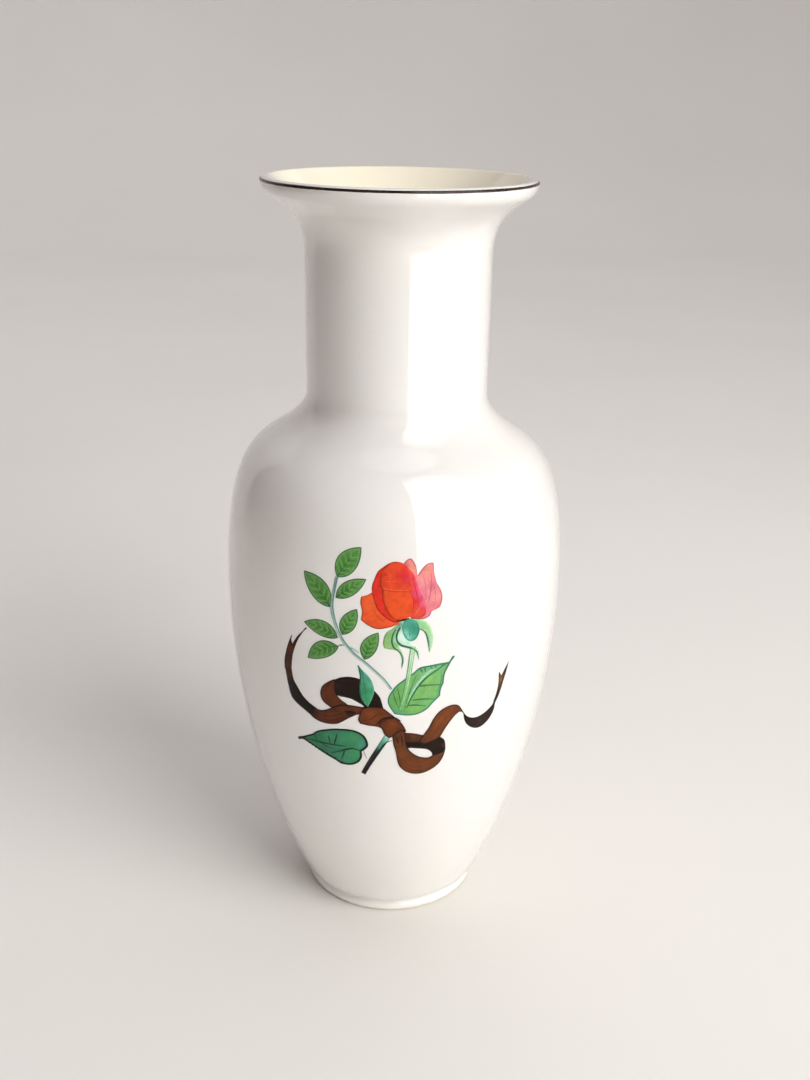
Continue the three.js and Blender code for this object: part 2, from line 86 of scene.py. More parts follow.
TURNS = 288  # facets round the porcelain
GRAIN = 0.55  # spacing of the points inside a print
FILM = 0.06  # thickness of a print
LIFT = 0.045  # how far the first layer's top stands off the glaze
LAYER = 0.035  # how much higher each later layer stands
STROKE_LIFT = 0.018  # how far a drawn line stands off its own print

# The brown line, measured round the lip's edge from its widest part, in degrees.
LINE_START = 10
LINE_END = 43
LINE_THICKNESS = 0.13
OUTLINE_WIDTH = 0.24  # the ribbon's drawn outline

# The two unseen panels: the near and far foot, and the height. All in metres.
CARD = ((-0.34, -0.38), (-0.62, 0.34), 0.6)
CARD_FADE_LOW = (-0.02, 0.22)
CARD_FADE_FRONT = (-0.37, -0.12)
GLEAM = ((0.123, -0.512), (0.66, 0.02), 3.0)
GLEAM_FADE_FAR = (0.42, 0.66)
GLEAM_FADE_FOOT = (-0.01, 0.05)
GLEAM_FADE_TOP = (1.2, 3.0)
GLEAM_STRENGTH = 2.2


# ---- Curves ------------------------------------------------------------------------------------

def towards_axis(tilt):
    """A direction in the profile plane: tilt is the angle above the way to the axis."""
    return np.array([-math.cos(tilt), math.sin(tilt)])


def outward(tilt):
    return np.array([math.cos(tilt), math.sin(tilt)])


UP = np.array([0.0, 1.0])


def bezier(start, rise, fall, end, steps):
    """A cubic curve; rise and fall are the handles' moves away from its two ends."""
    start, end = np.asarray(start, float), np.asarray(end, float)
    t = np.linspace(0, 1, steps + 1)[:, None]
    near, far = start + rise, end + fall
    return (1 - t) ** 3 * start + 3 * t * (1 - t) ** 2 * near + 3 * t * t * (1 - t) * far + t ** 3 * end


def arc(centre, radius, start, end, steps):
    """Points on an arc, by angles in degrees from the way out."""
    angle = np.radians(np.linspace(start, end, steps + 1))
    return np.asarray(centre) + radius * np.stack([np.cos(angle), np.sin(angle)], -1)


def smooth(points, step=0.5):
    """A smooth line through points, with a point about every step."""
    if len(points) == 2:
        count = max(2, int(math.dist(*points) / step) + 1)
        return np.linspace(points[0], points[1], count)
    known = np.array([points[0], *points, points[-1]], float)
    line = []
    for before, start, end, after in zip(known, known[1:], known[2:], known[3:]):
        count = max(1, round(math.dist(start, end) / step))
        t = np.linspace(0, 1, count, endpoint=False)[:, None]
        line.append(0.5 * (
            2 * start + (end - before) * t + (2 * before - 5 * start + 4 * end - after) * t ** 2
            + (3 * start - before - 3 * end + after) * t ** 3
        ))
    return np.vstack([*line, known[-1:]])


def outline(*strokes):
    """A closed outline of smooth strokes that meet at corners: each starts where the last ends."""
    return np.vstack([smooth(stroke)[:-1] for stroke in strokes])


def normals_of(line, closed=False):
    """The unit direction to the left of a line, at each of its points."""
    if closed:
        along = np.roll(line, -1, 0) - np.roll(line, 1, 0)
    else:
        along = np.gradient(line, axis=0)
    along /= np.maximum(np.linalg.norm(along, axis=1, keepdims=True), 1e-9)
    return np.stack([-along[:, 1], along[:, 0]], -1)


def band(line, start_width, end_width):
    """The outline of a band of changing width along a smooth line."""
    line = smooth(line)
    half = np.linspace(start_width, end_width, len(line))[:, None] / 2
    side = normals_of(line) * half
    return np.vstack([line - side, (line + side)[::-1]])


# ---- The outline of the porcelain, as radius and height ----------------------------------------

def body_outside(steps):
    """The outside of the body, from its base to the bottom of the neck."""
    belly = (BELLY_RADIUS, BELLY_HEIGHT)
    rise = np.array([BASE_SPREAD, 1.0])
    way = towards_axis(SHOULDER_TILT)
    fillet_centre = (NECK_RADIUS + JUNCTION_FILLET, NECK_BOTTOM)
    fillet = arc(fillet_centre, JUNCTION_FILLET, 270 - math.degrees(JUNCTION_TILT), 180, steps)
    return [
        bezier(BASE, 34.4 * rise, -33.3 * UP, belly, 3 * steps),
        bezier(belly, 22.8 * UP, -8.8 * way, SHOULDER, 2 * steps),
        bezier(SHOULDER, 9.4 * way, -9.2 * towards_axis(JUNCTION_TILT), fillet[0], steps),
        fillet,
    ]


def mouth_outside(steps):
    """The outside of the flared mouth, from the top of the neck to the widest part of the lip."""
    centre = (LIP_RADIUS - LIP_UNDERCUT, HEIGHT - WALL / 2)
    edge = arc(centre, LIP_UNDERCUT, math.degrees(LIP_TILT) - 90, 0, steps)
    start = (NECK_RADIUS, NECK_TOP)
    return [bezier(start, 12.4 * UP, -6.8 * outward(LIP_TILT), edge[0], 2 * steps), edge]


def lip_edge(steps):
    """The rounded edge of the lip, from its widest part over into the mouth."""
    centre = (LIP_RADIUS - WALL / 2, HEIGHT - WALL / 2)
    return arc(centre, WALL / 2, 0, 90 + math.degrees(LIP_INSIDE_TILT), steps)


def mouth_inside(steps):
    """The inside of the mouth, from the top of the neck to the lip."""
    start = (NECK_RADIUS - WALL, NECK_TOP)
    return bezier(start, 14.5 * UP, -9 * outward(LIP_INSIDE_TILT), lip_edge(1)[-1], steps)


def foot_outside():
    """The foot: its recessed underside, the bare ring that it stands on, and the groove above it."""
    flare = FOOT_RADIUS - 1.2
    return [
        np.linspace((0, FOOT_HEIGHT), (FOOT_INNER - 1.4, FOOT_HEIGHT), 10),
        arc((FOOT_INNER - 1.4, FOOT_HEIGHT - 1.4), 1.4, 90, 0, 6),
        arc((FOOT_INNER + 0.6, 0.6), 0.6, 180, 270, 5),
        np.linspace((FOOT_INNER + 0.9, 0), (flare - 0.3, 0), 5),
        arc((flare, 1.2), 1.2, 270, 360, 8),
        bezier((FOOT_RADIUS - 0.02, 1.5), 0.9 * UP, -0.7 * UP, (FOOT_TOP + 0.05, 3.9), 6)[1:],
        bezier((FOOT_TOP + 0.03, 4.2), 0.6 * UP, (-0.5, -1.0), BASE, 8),
    ]


def inside():
    """The inside of the vase, from the lip down to the middle of the floor."""
    outside = np.vstack([stretch[1:] for stretch in body_outside(8)])
    wall = outside + normals_of(outside) * WALL
    wall = wall[wall[:, 1] > FLOOR + 9]
    neck = np.linspace((NECK_RADIUS - WALL, NECK_TOP), (NECK_RADIUS - WALL, NECK_BOTTOM), 18)
    lean = wall[0] - wall[2]
    corner = bezier(wall[0], 4 * lean / np.linalg.norm(lean), (7, 0), (23, FLOOR), 12)
    middle = np.linspace((23, FLOOR), (0, FLOOR), 12)
    return [mouth_inside(20)[::-1], neck[1:], wall[::-1][1:], corner[1:], middle[1:]]


def porcelain_profile():
    neck = np.linspace((NECK_RADIUS, NECK_BOTTOM), (NECK_RADIUS, NECK_TOP), 26)
    stretches = [*foot_outside(), *body_outside(14), neck, *mouth_outside(10), lip_edge(12), *inside()]
    points = np.vstack(stretches)
    apart = np.linalg.norm(np.diff(points, axis=0), axis=1) > 0.01
    return points[np.concatenate([[True], apart])]


SKIN = np.vstack(body_outside(40))


def skin_radius(z):
    """The body's radius at a height."""
    return np.interp(z, SKIN[:, 1], SKIN[:, 0])


def on_skin(points, lift):
    """Points of a print, (u, z) with u round the belly from the middle of the front, in metres."""
    points = np.asarray(points, float)
    angle = points[:, 0] / BELLY_RADIUS
    radius = skin_radius(points[:, 1]) + lift
    return np.stack([radius * np.sin(angle), -radius * np.cos(angle), points[:, 1]], -1) * MM


# ---- Meshes ------------------------------------------------------------------------------------

def made(name, mesh, material_slot, *nodes):
    """Puts a finished mesh in the scene, in place of its CAD nodes."""
    piece = bpy.data.objects.new(name, mesh)
    bpy.context.scene.collection.objects.link(piece)
    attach(piece, "root")
    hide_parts(*nodes)
    return piece


def turned(name, profile, turns=TURNS):
    """A mesh turned from a profile about the vase's axis. Points on the axis become one vertex."""
    angles = np.arange(turns) * 2 * math.pi / turns
    vertices, rows = [], []
    for radius, z in profile:
        count = 1 if radius < 1e-6 else turns
        rows.append(range(len(vertices), len(vertices) + count))
        around = angles[:count]
        vertices += list(np.stack([radius * np.sin(around), -radius * np.cos(around), 0 * around + z], -1))
    faces = []
    closed = rows + rows[:1] if len(rows[0]) > 1 else rows
    for low, high in zip(closed, closed[1:]):
        for i in range(turns):
            j = (i + 1) % turns
            corners = [low[i % len(low)], low[j % len(low)], high[j % len(high)], high[i % len(high)]]
            faces.append(list(dict.fromkeys(corners)))
    mesh = bpy.data.meshes.new(name)
    mesh.from_pydata((np.array(vertices) * MM).tolist(), [], faces)
    mesh.shade_smooth()
    facing_out(mesh)
    return mesh


def facing_out(mesh):
    work = bmesh.new()
    work.from_mesh(mesh)
    bmesh.ops.recalc_face_normals(work, faces=work.faces)
    work.to_mesh(mesh)
    work.free()


def linear(colour):
    """A colour written as a web colour, as the linear numbers that the shader wants."""
    value = np.array([int(colour[i:i + 2], 16) / 255 for i in (1, 3, 5)])
    return np.where(value <= 0.04045, value / 12.92, ((value + 0.055) / 1.055) ** 2.4)


def within(points, loop):
    """Which points lie inside a closed outline."""
    x, y = points[:, :1], points[:, 1:]
    x1, y1 = loop[:, 0], loop[:, 1]
    x2, y2 = np.roll(x1, -1), np.roll(y1, -1)
    rise = np.where(y2 == y1, 1e-12, y2 - y1)
    crosses = ((y1 > y) != (y2 > y)) & (x < (x2 - x1) * (y - y1) / rise + x1)
    return crosses.sum(1) % 2 == 1


def distance_to(points, loop):
    """How far points are from a closed outline."""
    start = loop[None]
    way = (np.roll(loop, -1, 0) - loop)[None]
    gap = points[:, None] - start
    share = np.clip((gap * way).sum(-1) / np.maximum((way * way).sum(-1), 1e-12), 0, 1)
    return np.linalg.norm(gap - share[..., None] * way, axis=-1).min(1)


def filled(loop):
    """The points and triangles that fill an outline, with an even scatter of points inside it."""
    low, high = loop.min(0), loop.max(0)
    row = GRAIN * math.sqrt(3) / 2
    grid = [
        (u + (k % 2) * GRAIN / 2, z)
        for k, z in enumerate(np.arange(low[1], high[1], row))
        for u in np.arange(low[0], high[0], GRAIN)
    ]
    grid = np.array(grid).reshape(-1, 2)
    grid = grid[within(grid, loop)]
    grid = grid[distance_to(grid, loop) > 0.55 * GRAIN]
    points = [Vector(point) for point in np.vstack([loop, grid])]
    found = delaunay_2d_cdt(points, [], [list(range(len(loop)))], 1, 1e-5)
    return np.array([list(point) for point in found[0]]), [list(face) for face in found[2]]


class Print:
    """One printed piece: films of enamel with their own colours, which become one mesh."""

    def __init__(self, name, material_slot, layer):
        self.name = name
        self.material_slot = material_slot
        self.top = LIFT + layer * LAYER
        self.vertices, self.faces, self.colours, self.rims = [], [], [], []

    def add(self, points, faces, border, colours, top):
        """A closed film: its top, its underside, and the wall round each border loop."""
        first = sum(len(part) for part in self.vertices)
        count = len(points)
        self.vertices += [on_skin(points, top), on_skin(points, top - FILM)]
        self.colours += [colours, colours]
        self.faces += [[first + i for i in face] for face in faces]
        self.faces += [[first + count + i for i in reversed(face)] for face in faces]
        for i, j in border:
            self.rims.append(len(self.faces))
            self.faces.append([first + j, first + i, first + count + i, first + count + j])

    def patch(self, loop, colour, rim=None, washes=()):
        """A patch of colour. rim = (colour, width) tints its edge, and each wash = (u, z, reach,
        colour, strength) tints it softly round a place."""
        points, faces = filled(loop)
        colours = np.tile(linear(colour), (len(points), 1))
        tints = []
        if rim:
            tints.append((np.exp(-((distance_to(points, loop) / rim[1]) ** 2)), linear(rim[0])))
        for u, z, reach, tint, strength in washes:
            away = np.linalg.norm(points - (u, z), axis=1)
            tints.append((strength * np.exp(-((away / reach) ** 2)), linear(tint)))
        for share, tint in tints:
            colours = colours * (1 - share[:, None]) + tint * share[:, None]
        self.add(points, *self.facing(points, faces), colours, self.top)
        return self

    @staticmethod
    def facing(points, faces):
        """The faces, all turned the same way round, and the edges that only one of them has."""
        kept = []
        for face in faces:
            corner = points[face]
            (x1, y1), (x2, y2) = corner[1] - corner[0], corner[2] - corner[0]
            kept.append(face if x1 * y2 > x2 * y1 else face[::-1])
        edges = {(a, b) for face in kept for a, b in zip(face, face[1:] + face[:1])}
        return kept, [(a, b) for a, b in edges if (b, a) not in edges]

    def stroke(self, line, widths, colour, closed=False):
        """A drawn line. widths are those at its start, middle and end."""
        line = np.asarray(line, float) if closed else smooth(line, 0.4)
        t = np.linspace(0, 1, len(line))
        width = np.interp(t, [0, 0.5, 1], widths) * (1 + 0.12 * np.sin(9.0 * t + 31 * line[0, 0]))
        side = normals_of(line, closed) * width[:, None] / 2
        points = np.vstack([line - side, line + side])
        count = len(line)
        faces = []
        for i in range(count if closed else count - 1):
            j = (i + 1) % count
            faces.append([i, j, count + j, count + i])
        border = [(a, b) for face in faces for a, b in zip(face, face[1:] + face[:1])]
        shared = {(b, a) for a, b in border}
        border = [edge for edge in border if edge not in shared]
        colours = np.tile(linear(colour), (len(points), 1))
        self.add(points, faces, border, colours, self.top + STROKE_LIFT)
        return self

    def contour(self, loop, width, colour):
        """A line drawn just inside an outline."""
        loop = np.asarray(loop)
        turn = np.sum(loop[:, 0] * np.roll(loop[:, 1], -1) - np.roll(loop[:, 0], -1) * loop[:, 1])
        inward = normals_of(loop, True) * math.copysign(0.5 * width, turn)
        return self.stroke(loop + inward, (width, width, width), colour, closed=True)

    def finish(self):
        mesh = bpy.data.meshes.new(self.name)
        mesh.from_pydata(np.vstack(self.vertices).tolist(), [], self.faces)
        mesh.shade_smooth()
        smoothed = np.ones(len(mesh.polygons), bool)
        smoothed[self.rims] = False
        mesh.polygons.foreach_set("use_smooth", smoothed)
        paint = mesh.color_attributes.new("paint", "FLOAT_COLOR", "POINT")
        colours = np.vstack(self.colours)
        paint.data.foreach_set("color", np.hstack([colours, np.ones((len(colours), 1))]).ravel())
        mesh.validate()
        mesh.materials.append(ENAMEL)
        return made(f"{self.name}_enamel", mesh, self.material_slot, self.name)


# ---- Materials ---------------------------------------------------------------------------------

def new_material(name):
    """A material with its Principled shader, and a helper that adds nodes to it."""
    material = bpy.data.materials.new(name)
    material.use_nodes = True
    tree = material.node_tree
    shader = tree.nodes["Principled BSDF"]

    def node(kind, inputs=None, **settings):
        added = tree.nodes.new(kind)
        for key, value in settings.items():
            setattr(added, key, value)
        for key, value in (inputs or {}).items():
            if isinstance(value, bpy.types.NodeSocket):
                tree.links.new(value, added.inputs[key])
            else:
                added.inputs[key].default_value = value
        return added

    def link(output, socket):
        tree.links.new(output, socket)

    return material, shader, node, link


def noise(node, place, scale, detail=3.0, roughness=0.5):
    """A grey cloud pattern, with scale in patterns to the metre."""
    inputs = {"Vector": place, "Scale": scale, "Detail": detail, "Roughness": roughness}
    return node("ShaderNodeTexNoise", inputs).outputs["Fac"]


def ranged(node, value, low, high, from_low=0.3, from_high=0.7):
    inputs = {"Value": value, "From Min": from_low, "From Max": from_high, "To Min": low, "To Max": high}
    return node("ShaderNodeMapRange", inputs).outputs["Result"]


def times(node, first, second):
    return node("ShaderNodeMath", {0: first, 1: second}, operation="MULTIPLY").outputs[0]


def mixed(node, share, first, second):
    """One colour over another. Colours are sockets or web colours."""
    added = node("ShaderNodeMix", {"Factor": share}, data_type="RGBA")
    for socket, colour in ((added.inputs[6], first), (added.inputs[7], second)):
        if isinstance(colour, str):
            socket.default_value = (*linear(colour), 1)
        else:
            added.id_data.links.new(colour, socket)
    return added.outputs[2]


def glaze_material(name, pale, deep):
    """Clear glaze on white porcelain: bright, faintly uneven in tone, with a soft ripple in its gloss."""
    material, shader, node, link = new_material(name)
    place = node("ShaderNodeTexCoord").outputs["Object"]
    height = node("ShaderNodeSeparateXYZ", {"Vector": place}).outputs["Z"]
    cloud = ranged(node, noise(node, place, 14, 2), 0, 1)
    tone = mixed(node, cloud, pale, deep)
    speck = ranged(node, noise(node, place, 1500, 1), 0, 0.35, 0.74, 0.8)
    speckled = mixed(node, speck, tone, "#cfc4b2")
    rim = ranged(node, height, 0.75, 0, 0.0002, 0.0016)
    link(mixed(node, rim, speckled, "#d9c8ad"), shader.inputs["Base Color"])
    link(ranged(node, noise(node, place, 60, 3), 0.05, 0.1), shader.inputs["Roughness"])
    ripple = noise(node, place, 55, 2, 0.4)
    bump = node("ShaderNodeBump", {"Height": ripple, "Strength": 0.10, "Distance": 0.0004})
    fine = node("ShaderNodeBump", {
        "Height": noise(node, place, 700, 2), "Strength": 0.06, "Distance": 0.00005,
        "Normal": bump.outputs["Normal"],
    })
    link(fine.outputs["Normal"], shader.inputs["Normal"])
    shader.inputs["IOR"].default_value = 1.55
    shader.inputs["Coat Weight"].default_value = 1.0
    shader.inputs["Coat Roughness"].default_value = 0.03
    shader.inputs["Coat IOR"].default_value = 1.5
    shader.inputs["Subsurface Weight"].default_value = 0.08
    shader.inputs["Subsurface Radius"].default_value = (1.0, 0.75, 0.5)
    shader.inputs["Subsurface Scale"].default_value = 0.003
    return material


def biscuit_material():
    """The bare porcelain of the ring that the vase stands on: matt, finely grained, a little stained."""
    material, shader, node, link = new_material("biscuit")
    place = node("ShaderNodeTexCoord").outputs["Object"]
    stain = ranged(node, noise(node, place, 180, 4), 0, 0.8, 0.45, 0.7)
    link(mixed(node, stain, "#e4dccc", "#c3b295"), shader.inputs["Base Color"])
    link(ranged(node, noise(node, place, 400), 0.6, 0.85), shader.inputs["Roughness"])
    grain = node("ShaderNodeBump", {
        "Height": noise(node, place, 3500, 4), "Strength": 0.5, "Distance": 0.00008,
    })
    link(grain.outputs["Normal"], shader.inputs["Normal"])
    return material


def enamel_material():
    """Fired enamel in its painted colour: uneven as a printed wash is, and glossy like the glaze."""
    material, shader, node, link = new_material("enamel")
    place = node("ShaderNodeTexCoord").outputs["Object"]
    paint = node("ShaderNodeVertexColor", layer_name="paint").outputs["Color"]
    pool = ranged(node, noise(node, place, 420, 4, 0.6), 0.86, 1.16)
    grain = ranged(node, noise(node, place, 3200, 2), 0.93, 1.07)
    value = node("ShaderNodeMath", {0: pool, 1: grain}, operation="MULTIPLY").outputs[0]
    washed = node("ShaderNodeHueSaturation", {"Color": paint, "Value": value}).outputs["Color"]
    link(washed, shader.inputs["Base Color"])
    link(ranged(node, noise(node, place, 300, 3), 0.14, 0.26), shader.inputs["Roughness"])
    print_bump = node("ShaderNodeBump", {
        "Height": noise(node, place, 1600, 3), "Strength": 0.12, "Distance": 0.00004,
    })
    link(print_bump.outputs["Normal"], shader.inputs["Normal"])
    shader.inputs["IOR"].default_value = 1.5
    shader.inputs["Specular IOR Level"].default_value = 0.16
    return material


def lip_material():
    """The brown line round the lip: brushed on by hand, thin and warmer where the brush ran dry."""
    material, shader, node, link = new_material("lip_brown")
    place = node("ShaderNodeTexCoord").outputs["Object"]
    thin = ranged(node, noise(node, place, 160, 4, 0.6), 0, 1, 0.4, 0.68)
    link(mixed(node, thin, "#1b100c", "#3a2114"), shader.inputs["Base Color"])
    link(ranged(node, noise(node, place, 500), 0.16, 0.34), shader.inputs["Roughness"])
    brushed = node("ShaderNodeBump", {
        "Height": noise(node, place, 1200, 2), "Strength": 0.2, "Distance": 0.00005,
    })
    link(brushed.outputs["Normal"], shader.inputs["Normal"])
    return material


def floor_material():
    material, shader, node, link = new_material("studio_floor")
    place = node("ShaderNodeTexCoord").outputs["Object"]
    link(
        mixed(node, ranged(node, noise(node, place, 3), 0, 1), "#eae7e3", "#edebe7"),
        shader.inputs["Base Color"],
    )
    shader.inputs["Roughness"].default_value = 0.8
    shader.inputs["Specular IOR Level"].default_value = 0.0
    return material


ENAMEL = enamel_material()


# ---- Porcelain ---------------------------------------------------------------------------------

def porcelain():
    mesh = turned("porcelain", porcelain_profile())
    mesh.materials.append(glaze_material("glaze", "#f3f1f0", "#f1eeea"))
    mesh.materials.append(glaze_material("glaze_inside", "#faf5e6", "#f6eed9"))
    mesh.materials.append(biscuit_material())
    bare = 0.25 * MM
    hollow = FOOT_HEIGHT * MM
    for face in mesh.polygons:
        inwards = face.normal.x * face.center.x + face.normal.y * face.center.y < 0
        if all(mesh.vertices[i].co.z < bare for i in face.vertices):
            face.material_index = 2
        elif inwards and face.center.z > hollow:
            face.material_index = 1
    return made("porcelain", mesh, "porcelain", "body", "neck", "mouth", "foot_ring")


def lip_line():
    """A low rounded line on the outer edge of the lip, a little wider in places."""
    centre = np.array([LIP_RADIUS - WALL / 2, HEIGHT - WALL / 2])
    share = np.linspace(0, 1, 11)
    angle = np.radians(LINE_START + share * (LINE_END - LINE_START))
    crown = WALL / 2 + LINE_THICKNESS * np.sin(np.pi * share) ** 0.5
    way = np.stack([np.cos(angle), np.sin(angle)], -1)
    top = centre + crown[:, None] * way
    under = centre + (WALL / 2 - 0.05) * way[::-1]
    middle = centre[1] + WALL / 2 * math.sin(math.radians((LINE_START + LINE_END) / 2))
    mesh = turned("lip_line", np.vstack([top, under]))
    for vertex in mesh.vertices:
        around = math.atan2(vertex.co.y, vertex.co.x)
        waver = (
            0.035 * math.sin(5 * around + 1)
            + 0.03 * math.sin(13 * around)
            + 0.02 * math.sin(37 * around)
        )
        from_middle = vertex.co.z / MM - middle
        vertex.co.z += waver * from_middle * MM
    mesh.materials.append(lip_material())
    return made("lip_line", mesh, "lip_brown", "lip_band")


# ---- Leaves and stems --------------------------------------------------------------------------

def leaf_sides(base, tip, left, right):
    """The two sides of a pointed leaf, from base to tip: left and right are its half widths."""
    base, tip = np.array(base, float), np.array(tip, float)
    along = tip - base
    across = np.array([-along[1], along[0]]) / np.linalg.norm(along)
    sides = []
    for width in (left, -right):
        bulge = across * width / 0.75
        sides.append(bezier(base, 0.2 * along + bulge, -0.34 * along + bulge, tip, 26))
    return sides


def leaflets():
    """The sprig's seven leaflets: rich green in the middle, milky towards a dark outline."""
    leaves = [
        ((-17.4, 139.8), (-10.2, 149.6), 3.8, 2.8),
        ((-19.6, 130), (-28.7, 139.9), 2.6, 4),
        ((-17.7, 133.3), (-8.3, 140.1), 2.7, 2.1),
        ((-15.6, 121.5), (-11, 130.5), 2.7, 2.3),
        ((-16.9, 120.3), (-28.4, 123.4), 1.8, 3.5),
        ((-16.7, 117.4), (-27.3, 111.3), 1.9, 3.8),
        ((-8.6, 113.9), (-4.4, 123.4), 3.1, 1.9),
    ]
    for number, sizes in enumerate(leaves, 1):
        left, right = leaf_sides(*sizes)
        loop = np.vstack([right, left[-2:0:-1]])
        middle = (left + right) / 2
        blot, far_blot = middle[9], middle[17]
        leaf = Print(f"leaflet_{number}", "leaf_green", 0).patch(
            loop, "#589243", rim=("#7ba86c", 0.8),
            washes=[(*blot, 1.6, "#44842f", 0.9), (*far_blot, 1.2, "#649c48", 0.6)],
        )
        for side in (left, right):
            for start in range(3, 19, 2):
                dark = start % 4 == 3
                foot, reach = middle[start], side[start + 4]
                curl = (middle[start + 1] - foot) * 0.4
                vein = [foot, foot * 0.45 + reach * 0.55 + curl, foot * 0.16 + reach * 0.84]
                leaf.stroke(vein, (0.26, 0.2, 0.08), "#3f7638" if dark else "#76ab66")
        leaf.stroke(middle[:24], (0.4, 0.26, 0.1), "#3a6f38")
        leaf.contour(loop, 0.34, "#436c49").finish()


def sprig():
    """The sprig's pale stem, with the grey line that shades one side of it, and its two twigs."""
    line = [
        (-17.5, 139.9), (-18.3, 135.6), (-18.9, 130.8), (-18.1, 126), (-16.4, 121.4),
        (-14.4, 118.3), (-11.6, 115.3), (-8.4, 112.8), (-5.4, 110.1), (-2.7, 107.3), (-0.4, 104),
    ]
    shade = [(u + 0.32, z + 0.12) for u, z in line]
    stem = Print("sprig_stem", "stem_blue", 1)
    stem.patch(
        band(line, 1.0, 0.6), "#b9dccf",
        washes=[(-18.7, 130, 5, "#9fc4b4", 0.8), (-17.6, 138, 3, "#86ab9a", 0.8)],
    )
    stem.stroke(shade, (0.44, 0.42, 0.34), "#6f9290")
    stem.stroke([(-18.7, 134), (-19.3, 130.6), (-18.6, 126.4), (-17.1, 121.8)], (0.1, 0.3, 0.1), "#7d9f94")
    stem.finish()
    twig = Print("sprig_twig_left", "stem_blue", 0)
    twig.patch(band([(-16.3, 117.8), (-15.7, 118.1), (-14.9, 118.2)], 0.5, 0.5), "#a9cbbf")
    twig.stroke([(-16.9, 117.6), (-15.9, 118), (-14.6, 118.1)], (0.3, 0.32, 0.2), "#6f8f83").finish()
    twig = Print("sprig_twig_right", "stem_blue", 0)
    twig.patch(band([(-13.6, 117.9), (-12.2, 117.5), (-10.4, 116.4)], 0.6, 0.5), "#b7dacb")
    twig.stroke([(-13.4, 117.6), (-12, 117.1), (-10.2, 116)], (0.2, 0.26, 0.12), "#86a99c").finish()


